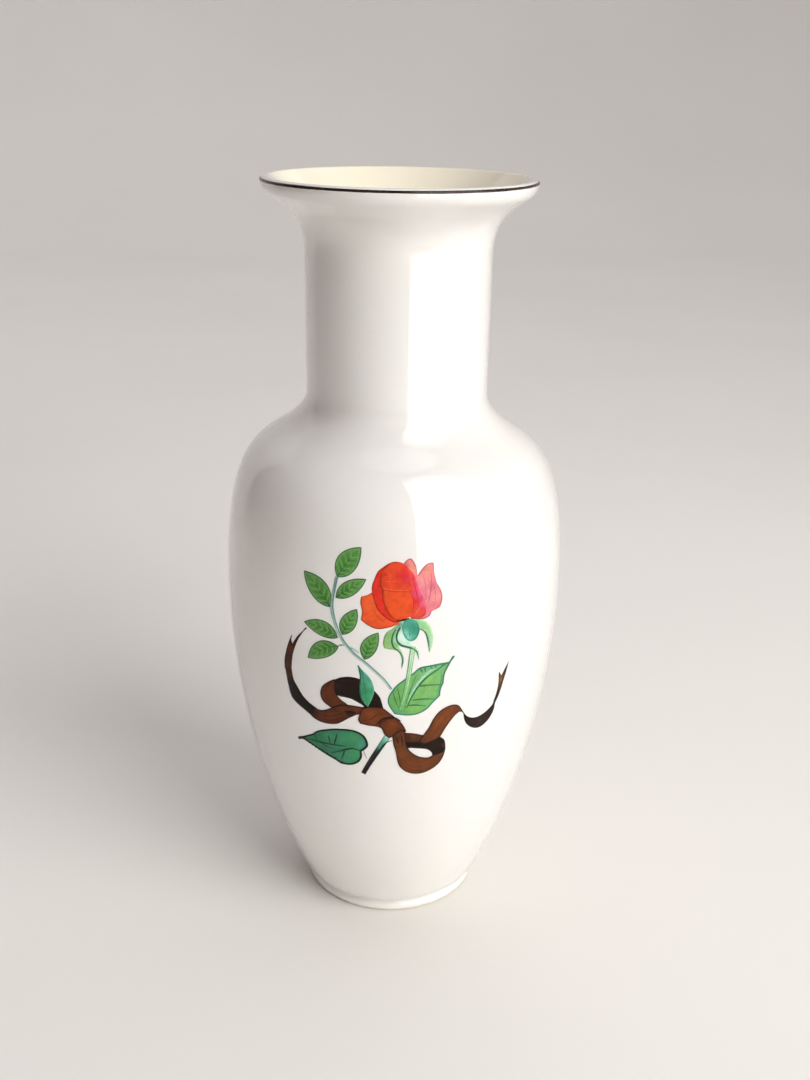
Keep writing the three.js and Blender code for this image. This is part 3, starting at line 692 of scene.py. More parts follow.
def rose():
    """The rose: seven petals, each printed over the ones behind it."""
    left = outline(
        [(-9.8, 134.6), (-8, 135.2), (-6, 136.5)],
        [(-6, 136.5), (-3, 131), (2.2, 126.6)],
        [(2.2, 126.6), (-1.3, 125.1), (-5, 124.5), (-8, 125.8), (-9.8, 127.1)],
        [(-9.8, 127.1), (-9.5, 130), (-10, 132.5), (-9.8, 134.6)],
    )
    petal = Print("petal_outer_left", "rose_orange", 0)
    petal.patch(
        left, "#ea5b2b", rim=("#e0502a", 0.5),
        washes=[(-8.5, 133, 2.4, "#ee6434", 0.7), (-4, 126, 2.6, "#e4532a", 0.7)],
    )
    petal.stroke(
        [(-9.6, 127.2), (-8, 125.9), (-5, 124.7), (-1.3, 125.3), (1.2, 126.2)],
        (0.16, 0.34, 0.16), "#963a1e",
    )
    petal.stroke([(-6.2, 130.6), (-4.6, 128.4), (-2.4, 126.6)], (0.06, 0.3, 0.06), "#cf4420")
    petal.stroke(
        [(-9.6, 134.5), (-9.8, 132.5), (-9.3, 130), (-9.6, 127.4)], (0.16, 0.3, 0.14), "#8f4a30",
    ).finish()

    top = outline(
        [(2.5, 144.5), (3.7, 146.2), (5.2, 146.7), (6.5, 144.8), (7, 142.3)],
        [(7, 142.3), (6.6, 140), (4, 139), (2.5, 144.5)],
    )
    petal = Print("petal_back_top", "rose_pink", 0)
    petal.patch(top, "#e58d84", rim=("#dc7478", 0.4), washes=[
        (5.4, 143.6, 1.2, "#ea9a88", 0.8), (3.4, 144.2, 1.1, "#d85a66", 0.9),
    ])
    petal.stroke(
        [(2.9, 144.9), (4, 146.2), (5.2, 146.4), (6.3, 144.8), (6.9, 142.6)], (0.1, 0.24, 0.1), "#a8666a",
    )
    petal.finish()

    right = outline(
        [(7.3, 141.8), (8.6, 143.7), (10.4, 145.1), (12.1, 145.1)],
        [(12.1, 145.1), (12.2, 142.5), (13, 139), (14.3, 136.7), (14.8, 134), (14, 131.2)],
        [(14, 131.2), (11.5, 130.1)],
        [(11.5, 130.1), (11, 128.7), (9.3, 127.8), (7, 127.5)],
        [(7, 127.5), (5, 133), (5, 138), (6, 141), (7.3, 141.8)],
    )
    petal = Print("petal_outer_right", "rose_pink", 0)
    petal.patch(right, "#e5868c", rim=("#d9727c", 0.35), washes=[
        (10.6, 142.6, 1.9, "#e98f7c", 0.9), (8.4, 140, 1.5, "#ea9496", 0.8),
        (8.6, 136.2, 1.5, "#e27c92", 0.8),
        (11.5, 138.4, 1.1, "#cf6180", 0.85), (12.9, 134.4, 1.6, "#ee9493", 0.8),
        (7.4, 133.6, 1.2, "#d9486a", 0.9),
        (9.6, 130.6, 1.5, "#dd6672", 0.8), (10.6, 129.4, 0.9, "#d982a8", 0.85),
        (13.2, 132, 1.1, "#d8707c", 0.7),
    ])
    for line, width, colour in (
        ([(10, 131.3), (10.9, 135), (11.4, 139), (11.3, 142.6)], 0.34, "#cf5f7c"),
        ([(8.5, 129.4), (9.4, 133.2), (9.7, 137.2), (9, 141), (8.2, 142.6)], 0.26, "#d76f80"),
        ([(11.8, 131), (12.7, 133.6), (12.5, 136.6), (12.2, 139.4)], 0.22, "#d5758a"),
        ([(7.3, 141.6), (8.6, 143.5), (10.4, 144.9), (11.9, 145), (12, 142.5),
         (12.8, 139.2)], 0.2, "#b96c70"),
        ([(12.8, 139.2), (14.1, 136.7), (14.6, 134), (13.9, 131.4), (11.7, 130.3)], 0.28, "#b8636c"),
        ([(11.4, 130.2), (10.8, 128.8), (9.2, 128), (7.4, 127.8)], 0.22, "#b65a5c"),
    ):
        petal.stroke(line, (0.08, width, 0.1), colour)
    petal.finish()

    ring = outline(
        [
            (-1.3, 145.4), (-4.6, 143), (-6, 140), (-6.6, 137.3), (-5.9, 133.7),
            (-4.6, 130.6), (-2, 128), (0.8, 126.8), (3.8, 127.9),
        ],
        [(3.8, 127.9), (0, 131), (-1.5, 137), (-1.3, 145.4)],
    )
    petal = Print("petal_ring", "rose_red", 1)
    petal.patch(ring, "#e43324", rim=("#dc3a26", 0.4), washes=[
        (-3.9, 139, 1.1, "#c42c1c", 0.8), (-5.6, 138.5, 1.2, "#e63a30", 0.6),
        (-2.6, 130.2, 1.6, "#d92f1e", 0.6),
    ])
    petal.stroke([(-1.6, 145.2), (-4.5, 142.9), (-5.9, 140), (-6.5, 137.3)], (0.12, 0.24, 0.08), "#9c2c1c")
    petal.stroke(
        [(-3.8, 129.9), (-1.6, 127.9), (0.8, 127), (2.8, 127.5)], (0.06, 0.26, 0.1), "#8e2016",
    ).finish()

    middle = outline(
        [(3.5, 144.5), (5.9, 142.2), (7.1, 138.8), (8.9, 134.6), (9.8, 131.2)],
        [(9.8, 131.2), (9.6, 129.2), (7.8, 128), (5.5, 127.9)],
        [(5.5, 127.9), (3, 132), (2, 138), (3.5, 144.5)],
    )
    petal = Print("petal_middle", "rose_magenta", 1)
    petal.patch(middle, "#db3f40", washes=[
        (4.6, 142.4, 1.4, "#d8485a", 0.9), (6.8, 139, 1.6, "#de4a6a", 0.9), (8, 136, 1.7, "#da5686", 0.95),
        (9, 132.8, 1.2, "#de6286", 0.95), (6.2, 133.6, 1.3, "#d8301f", 0.9),
        (7.2, 129.6, 1.5, "#e3573a", 0.9),
    ])
    petal.stroke([(5.2, 141.6), (6.3, 138.4), (7.2, 134.6), (7.6, 131)], (0.06, 0.3, 0.06), "#c52c3c")
    petal.stroke([(6.4, 129), (7.2, 130.6), (8.4, 132.2)], (0.05, 0.2, 0.05), "#ee8560")
    petal.stroke(
        [(5.7, 128.1), (7.8, 128.2), (9.4, 129.3), (9.6, 130.8)], (0.12, 0.28, 0.08), "#a8442a",
    ).finish()

    crown = outline(
        [(-4.2, 139.5), (-3.6, 143), (-1.3, 145.3), (0.8, 145.8), (3.2, 145), (5, 142.5), (5.8, 138.8)],
        [(5.8, 138.8), (5.4, 136.8), (4, 136.4), (0.5, 136.4), (-2.5, 136.9), (-4, 138), (-4.2, 139.5)],
    )
    petal = Print("petal_crown", "rose_red", 2)
    petal.patch(crown, "#e2492a", rim=("#d03a22", 0.35), washes=[
        (3.1, 141.6, 2.5, "#d92d30", 0.95), (-2.5, 141.8, 0.8, "#b9321c", 0.85),
        (-0.8, 141.4, 0.8, "#ea5630", 0.8),
        (0.2, 144.4, 1.1, "#e8562f", 0.8), (4.6, 140.8, 1.5, "#e0404e", 0.85),
        (-3, 139.4, 0.8, "#c83c22", 0.8),
        (0.6, 138.4, 1.1, "#e0452a", 0.8), (3.6, 137.9, 1.0, "#e04a30", 0.8),
    ])
    for line, width, colour in (
        ([(0.7, 144.9), (1.1, 143.3), (0.8, 141.6), (1.2, 140)], 0.15, "#cf3a26"),
        ([(-3.3, 140.8), (-2.7, 142), (-1.9, 141.9), (-1.6, 141)], 0.34, "#b5301d"),
        ([(-3.2, 139.4), (-2, 139.8), (-0.6, 139.7), (0.6, 139.9)], 0.16, "#ea6640"),
        ([(3.6, 144.3), (4.1, 142.2), (4.3, 139.8), (4.7, 137.6)], 0.14, "#cf3440"),
        ([(-4.1, 139.6), (-3.6, 142.7), (-1.5, 145), (0.8, 145.6), (2.4, 145.2)], 0.3, "#a83c22"),
    ):
        petal.stroke(line, (0.08, width, 0.08), colour)
    petal.finish()

    centre = outline(
        [(-3.3, 137.9), (-1.8, 137.5), (1.4, 137.2), (4.5, 137.2)],
        [
            (4.5, 137.2), (5.5, 135), (6.1, 132), (5.8, 129.5), (3.6, 128),
            (1.1, 127.6), (-0.8, 128.7), (-2.4, 131.5), (-3.3, 134.7), (-3.3, 137.9),
        ],
    )
    petal = Print("petal_centre", "rose_orange", 3)
    petal.patch(centre, "#e45224", rim=("#d8451f", 0.5), washes=[
        (-1, 134, 2.2, "#e05024", 0.6), (3.2, 130.6, 1.9, "#e75828", 0.7),
        (5.3, 131.8, 0.9, "#d8401f", 0.8),
        (4.6, 135.2, 1.1, "#df4428", 0.7), (-2.5, 136.4, 0.9, "#ea6236", 0.7),
    ])
    petal.stroke([(-3.2, 137.8), (-1.8, 137.4), (1.4, 137.1), (4.4, 137.1)], (0.1, 0.2, 0.1), "#ee7648")
    petal.stroke([(-2.9, 137.2), (-1.4, 136.9), (1.6, 136.7), (4.2, 136.7)], (0.06, 0.16, 0.06), "#bf4020")
    petal.stroke([(-3.1, 137.4), (-3.1, 134.7), (-2.2, 131.6), (-0.6, 128.9)], (0.08, 0.22, 0.1), "#c0381e")
    petal.stroke([(4.5, 136.9), (5.6, 134.6), (6, 132), (5.7, 129.8)], (0.08, 0.26, 0.1), "#b8361c")
    petal.stroke(
        [(0.9, 127.5), (2.4, 127.5), (3.8, 127.9), (4.9, 128.2)], (0.14, 0.5, 0.16), "#2b120c",
    ).finish()


def calyx():
    """The green cup under the rose, its three curling sepals, and the rose's stem."""
    cup = outline(
        [(3.2, 127.3), (5, 128), (7, 127.3)],
        [
            (7, 127.3), (7.9, 125), (7.7, 122.8), (6.7, 121.1), (5.2, 120.6), (3.8, 121.5),
            (2.9, 123.4), (2.7, 125.2), (3.2, 127.3),
        ],
    )
    piece = Print("calyx_cup", "calyx_teal", 1)
    piece.patch(cup, "#4fa58b", washes=[
        (3.9, 123.4, 1.2, "#7dccbe", 0.9), (4.6, 121.8, 0.8, "#9ad9cc", 0.8),
        (6.4, 124.8, 1.7, "#3d9377", 0.9),
        (4.4, 126.6, 1.0, "#4a9c86", 0.8),
    ])
    piece.stroke([(6.9, 126.8), (7.6, 124.6), (7.2, 122.4), (6, 120.8)], (0.08, 0.3, 0.1), "#2f7a64")
    piece.stroke([(3.2, 126.9), (2.9, 124.8), (3.4, 122.8), (4.6, 121.3)], (0.12, 0.16, 0.05), "#58a795")
    piece.stroke([(4.9, 121.4), (5, 123.4), (4.6, 125.6)], (0.05, 0.26, 0.05), "#3f9a80").finish()

    left = outline(
        [(-0.4, 124.6), (-2.2, 123.2), (-3, 120.2), (-2.6, 118.2)],
        [(-2.6, 118.2), (-1, 117.9), (1, 117.5), (2.3, 116.2), (2.9, 114.2), (2.8, 111.4)],
        [(2.8, 111.4), (3.4, 114.4), (2.7, 117), (1.8, 118.9), (1.2, 121), (1.4, 124), (2, 126.6)],
        [(2, 126.6), (0.6, 125.6), (-0.4, 124.6)],
    )
    piece = Print("sepal_left", "sepal_green", 0)
    piece.patch(left, "#8dbe78", washes=[
        (-2.2, 120.5, 1.1, "#8fc07c", 0.7), (-1, 122.6, 1.0, "#86b86c", 0.8),
        (1.6, 117.6, 1.2, "#a5cfa6", 0.7),
        (2.9, 113.4, 1.8, "#6f9a84", 0.9), (0.7, 121, 1.0, "#a8dcbb", 0.9), (1, 123.6, 0.9, "#8fcaa4", 0.9),
    ])
    piece.stroke([
        (0.8, 124.6), (-0.1, 122.6), (-0.3, 120.3), (0.3, 118.5), (1.4, 117.6),
        (2.4, 116.3), (2.9, 114.6), (2.8, 112.8), (2.8, 111.4),
    ], (0.36, 0.52, 0.16), "#2f6d4b").finish()

    middle = outline(
        [(1.2, 125), (0.9, 122.8), (1.1, 120.4), (2.4, 118.9), (5.4, 117.9), (6.9, 116.9), (7.9, 114.2)],
        [(7.9, 114.2), (8.2, 116.2), (7, 118.4), (5.6, 119.6), (5.2, 121.4), (4, 123), (4, 127.5)],
        [(4, 127.5), (2.2, 127.3), (1.4, 126), (1.2, 125)],
    )
    piece = Print("sepal_middle", "sepal_green", 0.5)
    piece.patch(middle, "#c9ebd6", washes=[
        (3, 122, 1.4, "#dcf5ea", 0.9), (7.2, 117, 1.5, "#a3d3a8", 0.9), (2.2, 126, 1.4, "#4f9c7e", 0.95),
    ])
    piece.stroke([
        (2.1, 125.2), (1.2, 123), (1.2, 120.9), (2.4, 119.4), (4.4, 118.7), (6.2, 118), (7.4, 116.7),
        (7.9, 114.4),
    ], (0.55, 0.66, 0.14), "#2b6f50").finish()

    right = outline(
        [(5.6, 127.9), (7.6, 127.8), (9.6, 127), (11.4, 124.8), (12.1, 121.8), (11.9, 118.6),
         (11.1, 116.4)],
        [(11.1, 116.4), (10.8, 119.4), (10.3, 121.9), (9.4, 123.6), (7.8, 124.4), (6.4, 125.6),
         (5.6, 127.9)],
    )
    piece = Print("sepal_right", "sepal_green", 0)
    piece.patch(right, "#a2d59b", rim=("#b9dfae", 0.5), washes=[
        (8.8, 125.9, 1.2, "#8fcb8c", 0.9), (11.4, 120.6, 1.6, "#a9d6b4", 0.8),
        (7.4, 126.4, 0.8, "#6fb58a", 0.8),
    ])
    inner = [(7.6, 124.7), (9, 124), (10, 122.6), (10.5, 120.8), (10.8, 118.8), (11.1, 116.6)]
    piece.stroke(inner, (0.24, 0.5, 0.12), "#3d7f5a")
    piece.finish()

    line = [(6.1, 118.9), (5.5, 113.8), (5, 109.5), (4.1, 103.5), (2.4, 96.4)]
    stem = Print("rose_stem", "sepal_green", 1)
    stem.patch(band(line, 1.7, 1.0), "#c2e6bc", rim=("#a3d3a0", 0.3), washes=[
        (5.4, 116, 2.4, "#d3eed2", 0.8), (3.9, 102, 3.4, "#8bca78", 1), (2.6, 97.4, 2.6, "#72b972", 1),
    ])
    for offset, colour in ((-0.62, "#5fa068"), (0.05, "#93c894"), (0.62, "#74b07c")):
        edge = [(u + offset, z - 0.3) for u, z in line[:4]]
        stem.stroke([*edge, (2.6 + offset * 0.5, 97)], (0.16, 0.3, 0.1), colour)
    stem.finish()


def rose_leaf():
    """The large leaf beside the rose's stem: two lobes, a pale band along the midrib, a dark top."""
    loop = outline(
        [(0.8, 95), (-1, 98), (-1.4, 100.4), (-0.5, 102.8), (1.4, 105.6), (3.9, 107.8), (6.6, 110)],
        [(6.6, 110), (8.3, 111.5), (11.4, 112), (15, 112.4), (17.3, 112.4)],
        [(17.3, 112.4), (19, 114.4)],
        [(19, 114.4), (17.6, 111.5), (16.3, 108.5), (16, 105.2)],
        [(16, 105.2), (15.3, 103.3), (15.1, 100.8)],
        [(15.1, 100.8), (12.8, 98.4), (10.9, 96.2), (8, 94.7), (4.5, 94.4), (0.8, 95)],
    )
    leaf = Print("rose_leaf", "rose_leaf_green", 0)
    leaf.patch(loop, "#76b466", rim=("#519c75", 0.6), washes=[
        (0.6, 99.5, 2.6, "#64a456", 0.9), (2.5, 104.4, 2.0, "#6dab5f", 0.8), (1.8, 96, 1.4, "#4d9670", 0.8),
        (11.8, 106.8, 2.8, "#86ba70", 0.9), (11, 102.4, 2.6, "#7fb56a", 0.9),
        (7.8, 96.4, 1.8, "#7bb464", 0.9),
        (10, 98.8, 1.4, "#70af71", 0.8), (11.6, 111, 1.6, "#66a97d", 0.9),
        (14.6, 111.4, 1.4, "#76b48f", 0.8),
        (8.6, 110.4, 1.3, "#6ea77b", 0.9), (17.6, 112.9, 1.2, "#628c7d", 0.9),
        (13.8, 99.8, 1.2, "#60a682", 0.9),
    ])
    pale = [(4.1, 98.2), (5.5, 101.6), (7.3, 105.3), (9.6, 108.3), (12.4, 110.4)]
    leaf.stroke(pale, (0.3, 1.1, 0.3), "#a3d1b4")
    midrib = [(4.6, 97.2), (6.1, 101.3), (8.3, 105.3), (10.8, 108.1), (13.9, 110.3), (17, 112.5)]
    leaf.stroke(midrib, (0.3, 0.6, 0.3), "#2f7240")
    for vein in (
        [(8.1, 105), (11.4, 105.1), (15.3, 104.8)],
        [(6.4, 100), (10, 100.2), (13.6, 99.8)],
        [(5, 98.1), (7.6, 98.2), (10.6, 97.6)],
    ):
        leaf.stroke(vein, (0.5, 0.5, 0.22), "#378149")
    for vein in (
        [(2.9, 95.6), (3.4, 100.4), (4.2, 104.6), (5.2, 108.4)],
        [(3.8, 95.8), (4.8, 100.4), (5.9, 104.8), (7.4, 109.2)],
        [(0.2, 103), (0.9, 100.4), (2, 97.2)],
        [(1.6, 104.8), (2.3, 101), (2.9, 97)],
    ):
        leaf.stroke(vein, (0.14, 0.42, 0.1), "#438847")
    for vein in (
        [(8.4, 111.2), (9.2, 109.7)], [(9.9, 111.8), (10, 109.7)], [(11.4, 112), (12.3, 110.7)],
        [(13.3, 112.2), (13.2, 110.9)], [(15, 112.2), (15.4, 111.3)],
    ):
        leaf.stroke(vein, (0.46, 0.42, 0.16), "#37805d")
    leaf.stroke([(9.6, 109.3), (11.6, 110.2), (13.4, 110.8)], (0.08, 0.3, 0.06), "#b9d9c9")
    leaf.stroke(
        [(14.9, 110.2), (15.2, 107.4), (15, 104.9), (14.2, 102.3), (14.2, 101)],
        (0.1, 0.42, 0.14), "#5a9f75",
    )
    leaf.contour(loop, 0.46, "#3c8166").finish()


def narrow_leaf():
    loop = outline(
        [(-10.7, 111.9), (-9, 110), (-7.2, 108), (-6.1, 106), (-5.6, 103), (-6.3, 100.3), (-7.6, 97.2)],
        [(-7.6, 97.2), (-9.2, 99), (-10.1, 101.5), (-10.2, 104.5), (-9.9, 108), (-10.7, 111.9)],
    )
    leaf = Print("narrow_leaf", "narrow_leaf_teal", 1)
    leaf.patch(loop, "#42976c", rim=("#4f9f80", 0.4), washes=[
        (-9.2, 107.6, 1.8, "#579c8c", 0.9), (-8, 102, 2.2, "#3f9a68", 0.9),
        (-9.9, 101.6, 0.9, "#2f7a5c", 0.7),
        (-7, 105.2, 1.0, "#5aa98a", 0.8),
    ])
    leaf.stroke(
        [(-10.5, 111.6), (-9.2, 109), (-8.6, 105), (-8.2, 101), (-7.7, 98)], (0.34, 0.24, 0.08), "#2f7d64",
    )
    leaf.stroke(
        [(-10.6, 111.8), (-9.9, 108.2), (-10.1, 104.5), (-9.9, 101.4), (-9, 99)],
        (0.36, 0.3, 0.14), "#24644c",
    ).finish()


def heart_leaf():
    """The dark leaf by the cut stem, with a heavy outline that is ragged along its lower side."""
    ragged = [(-17.5, 73.6)]
    for k in range(9):
        u = -19.2 - 1.28 * k
        ragged += [(u, 74.55 + 0.52 * k), (u - 0.55, 75.25 + 0.52 * k)]
    loop = outline(
        [
            (-33.8, 79.3), (-30.9, 81.2), (-27.5, 83.1), (-25, 85.1), (-20, 87), (-16.9, 87.6),
            (-13.8, 87.9), (-11.2, 87.5), (-9.1, 86.2), (-8, 84.2), (-7.8, 82.3), (-8.8, 80.8), (-10, 79.9),
        ],
        [(-10, 79.9), (-9.9, 77.9), (-10.8, 75.7), (-12.8, 74.2), (-15, 73.6), (-17.5, 73.6)],
        [*ragged, (-31.4, 79.6), (-33.8, 79.3)],
    )
    leaf = Print("heart_leaf", "heart_leaf_green", 0)
    leaf.patch(loop, "#3d8862", rim=("#2f7553", 0.7), washes=[
        (-12.4, 85, 2.0, "#4b9a5f", 0.8), (-12, 78.6, 2.2, "#469860", 0.9), (-14, 83, 2.6, "#428a64", 0.7),
        (-26.4, 81.4, 3.2, "#2e7250", 0.9), (-24.6, 84, 1.6, "#347a52", 0.7),
        (-19.6, 78.6, 2.0, "#357a58", 0.7),
        (-10, 82.6, 1.4, "#4a8f7c", 0.8), (-22.6, 78.2, 1.6, "#3c6d60", 0.8),
        (-16, 75.4, 1.4, "#46846a", 0.7),
    ])
    for vein, widths in (
        ([(-30.8, 80.5), (-26, 80.6), (-21, 80.7), (-15.2, 81.1)], (0.16, 0.7, 0.2)),
        ([(-10.2, 80), (-12, 80.5), (-13.6, 80.5), (-16, 79.5), (-18.6, 78.2), (-21, 77.4)],
         (0.4, 0.66, 0.18)),
        ([(-21.3, 84.2), (-21.2, 82.6), (-20.8, 80.9)], (0.16, 0.46, 0.26)),
        ([(-18.2, 85.4), (-18.8, 83.2), (-19.5, 80.9)], (0.16, 0.56, 0.3)),
        ([(-15.8, 79.7), (-16.4, 77.6), (-17.3, 75.4)], (0.44, 0.52, 0.14)),
        ([(-20, 79.2), (-22.4, 79.6), (-24.6, 80.4)], (0.14, 0.38, 0.16)),
        ([(-26.8, 84.3), (-26.4, 82.6), (-25.9, 80.9)], (0.1, 0.34, 0.18)),
    ):
        leaf.stroke(vein, widths, "#0f3f29")
    leaf.stroke(
        [(-31.4, 79.85), (-27, 78.4), (-23, 76.6), (-18.8, 74.8), (-15.6, 74)],
        (0.3, 0.95, 0.25), "#14231a",
    )
    leaf.stroke([(-33.7, 79.4), (-32.2, 80.1), (-30.6, 80.9)], (0.3, 0.9, 0.5), "#14160f")
    leaf.stroke([(-9.4, 80.4), (-8.9, 78.8), (-8.3, 77.2)], (0.3, 0.2, 0.16), "#6f8a8a")
    leaf.contour(loop, 0.68, "#0c2117").finish()


def cut_stem():
    stem = Print("cut_stem", "stick_dark", 0)
    line = [(-9.7, 70.8), (-7.4, 75.4), (-5, 79.8), (-3, 83.4), (-1.2, 86.8)]
    stem.patch(band(line, 1.6, 2.2), "#1f1418", washes=[
        (-2.2, 85.2, 2.6, "#6fb59f", 1), (-3.8, 82.4, 1.2, "#4f9a86", 0.9),
        (-4.9, 80.4, 0.9, "#2a4741", 0.8),
        (-1.6, 86.6, 1.2, "#a8dcc8", 0.9),
    ])
    stem.stroke([(-8.8, 73.6), (-6.9, 77.2), (-5.4, 79.6)], (0.1, 0.24, 0.1), "#4a3a40")
    stem.stroke(
        [(-5.2, 78.6), (-3.6, 81.4), (-2.2, 83.4), (-1.2, 84.4), (0.1, 84.8)], (0.4, 0.56, 0.2), "#151a18",
    )
    stem.finish()


# ---- Ribbon ------------------------------------------------------------------------------------

SHADE = "#3a1b0b"  # the ribbon's own shadow along its edges
DARK = "#1a0d06"  # its reverse
OUTLINE = "#2c150a"


def ribbon_left():
    """The ribbon's left half: forked tail, dark turn, the run to the knot, and the upper loop."""
    tip = outline(
        [(-27.5, 121.6), (-30.2, 117.6), (-31.8, 114.2), (-32.9, 111), (-33.5, 107.8), (-33.8, 105)],
        [(-33.8, 105), (-36.55, 105)],
        [(-36.55, 105), (-36.4, 108.1), (-35.4, 111.9), (-34.3, 115), (-33.1, 117.6)],
        [(-33.1, 117.6), (-33.3, 115.6), (-32.9, 114.6)],
        [(-32.9, 114.6), (-31, 117.7), (-27.5, 121.6)],
    )
    piece = Print("ribbon_tail_left", "ribbon_brown", 1)
    piece.patch(tip, "#4c2410", rim=("#321608", 0.45), washes=[
        (-34, 112.5, 1.4, "#612c12", 0.8), (-33.6, 115.6, 1.1, "#512615", 0.8),
        (-28.6, 120, 1.8, "#341c12", 0.8),
        (-35.4, 106.6, 1.6, "#512e18", 0.7),
    ])
    piece.contour(tip, OUTLINE_WIDTH, OUTLINE)
    piece.stroke([(-35.6, 106), (-35.2, 109.4), (-34.1, 113)], (0.06, 0.18, 0.06), "#371a0a")
    piece.stroke([(-34.5, 105.6), (-34.2, 108.6), (-33.2, 112)], (0.06, 0.18, 0.06), "#3e1f0c").finish()

    turn = outline(
        [(-33.75, 105.6), (-33.2, 102), (-31.9, 99.8), (-30, 97), (-27.8, 95.1), (-24.8, 93.5)],
        [(-24.8, 93.5), (-26.2, 89.7)],
        [(-26.2, 89.7), (-30.3, 92), (-33.1, 93.6), (-34.7, 95.4), (-35.6, 99.2), (-36.5, 105.6)],
        [(-36.5, 105.6), (-33.75, 105.6)],
    )
    piece = Print("ribbon_tail_left_reverse", "ribbon_dark", 0)
    piece.patch(turn, "#130704", rim=("#200f07", 0.4), washes=[
        (-35.2, 103.2, 2.2, "#442712", 0.9), (-34.6, 99.6, 1.5, "#201108", 0.7),
        (-29.4, 93.6, 1.8, "#0d0402", 0.8),
    ])
    piece.stroke(
        [(-35.2, 104.2), (-34.6, 100.4), (-33.2, 96.6), (-30.4, 94)], (0.12, 0.2, 0.05), "#29160b",
    ).finish()

    run = outline(
        [(-25.6, 93.6), (-23.1, 93.4), (-20.2, 94.7), (-17.5, 96.5), (-14, 97.2), (-9.3, 97)],
        [(-9.3, 97), (-8.2, 96.6), (-9.6, 93.9)],
        [(-9.6, 93.9), (-10.9, 94), (-13.8, 92.3), (-16.3, 90.4), (-18.4, 89.2), (-21.6, 88.7),
         (-24.7, 89), (-27.2, 90.1)],
        [(-27.2, 90.1), (-25.6, 93.6)],
    )
    piece = Print("ribbon_run_left", "ribbon_brown", 2)
    piece.patch(run, "#532811", rim=(SHADE, 0.5), washes=[
        (-20, 91.6, 2.4, "#652e14", 0.8), (-25.8, 91.6, 1.5, "#34180a", 0.8),
        (-16, 95, 1.8, "#5b3012", 0.7),
        (-11.6, 96, 1.5, "#6e3a26", 0.6), (-22.6, 90.4, 1.4, "#5a2912", 0.7),
        (-13.2, 93.6, 1.1, "#341609", 0.8),
    ])
    piece.contour(run, OUTLINE_WIDTH, OUTLINE)
    for rise in (0.0, 0.75, 1.5, 2.3):
        piece.stroke(
            [(-24.6, 90.3 + rise), (-21.4, 90.1 + rise), (-18.2, 91 + rise), (-15.2, 92.8 + rise)],
            (0.05, 0.16, 0.05), "#431f0d" if rise in (0.0, 1.5) else "#703b1c",
        )
    piece.stroke([(-20, 94.8), (-16, 96.6), (-12.4, 96.9)], (0.3, 0.36, 0.12), "#291207").finish()

    fold = outline(
        [(-15.2, 94.6), (-13, 95.1), (-11.2, 94.6)],
        [(-11.2, 94.6), (-12.6, 93.6), (-14.4, 93.2)],
        [(-14.4, 93.2), (-15.2, 94.6)],
    )
    Print("ribbon_fold", "ribbon_dark", 3).patch(fold, "#260f07", rim=("#34170a", 0.3)).finish()

    loop = outline(
        [(-18.2, 105.8), (-20.3, 104.5), (-22.5, 102.3), (-23.3, 99.5), (-22.5, 97), (-20, 95.2)],
        [(-20, 95.2), (-17.2, 95.4), (-13.8, 96.8)],
        [(-13.8, 96.8), (-14.6, 97.6), (-16.2, 98.6), (-17.3, 99.8), (-18.1, 101.4), (-18.2, 105.8)],
    )
    piece = Print("ribbon_loop_left", "ribbon_brown", 1)
    piece.patch(loop, "#5d2d13", rim=("#3f1d0b", 0.45), washes=[
        (-21, 101.6, 1.8, "#633215", 0.8), (-19, 98.6, 1.5, "#5c2a11", 0.7),
        (-18.4, 103.4, 1.2, "#51220f", 0.8),
    ])
    piece.contour(loop, OUTLINE_WIDTH, OUTLINE)
    piece.stroke([(-19.6, 104.8), (-21.2, 101.6), (-20.9, 98.6), (-19, 96.4)], (0.06, 0.2, 0.06), "#45200d")
    piece.stroke(
        [(-18.9, 104.6), (-19.9, 101.4), (-19.2, 98.8), (-17.4, 97.2)], (0.06, 0.16, 0.06), "#703b1b",
    ).finish()

    reverse = outline(
        [
            (-19.2, 105.1), (-18, 105.7), (-16.3, 106.7), (-13.4, 107.4), (-10.3, 107),
            (-7, 104.8), (-5, 102.6), (-3.7, 100.7), (-2.9, 97.7),
        ],
        [(-2.9, 97.7), (-3.2, 96.4), (-8.6, 96.4)],
        [(-8.6, 96.4), (-9.2, 97.6), (-10.6, 98.4), (-12.8, 99.5), (-15, 99.8), (-16.8, 99.9),
         (-18.4, 100.4)],
        [(-18.4, 100.4), (-19.2, 105.1)],
    )
    piece = Print("ribbon_loop_left_reverse", "ribbon_dark", 0)
    piece.patch(reverse, "#1a0d04", rim=("#261408", 0.4), washes=[
        (-17, 103.4, 1.3, "#2e1308", 0.8), (-12.6, 103, 2.0, "#200f07", 0.7),
        (-11, 101, 1.5, "#100903", 0.8),
    ])
    piece.stroke(
        [(-17, 105), (-15, 105.9), (-12.4, 106.3), (-10.6, 105.8)], (0.05, 0.22, 0.05), "#341c0d",
    ).finish()


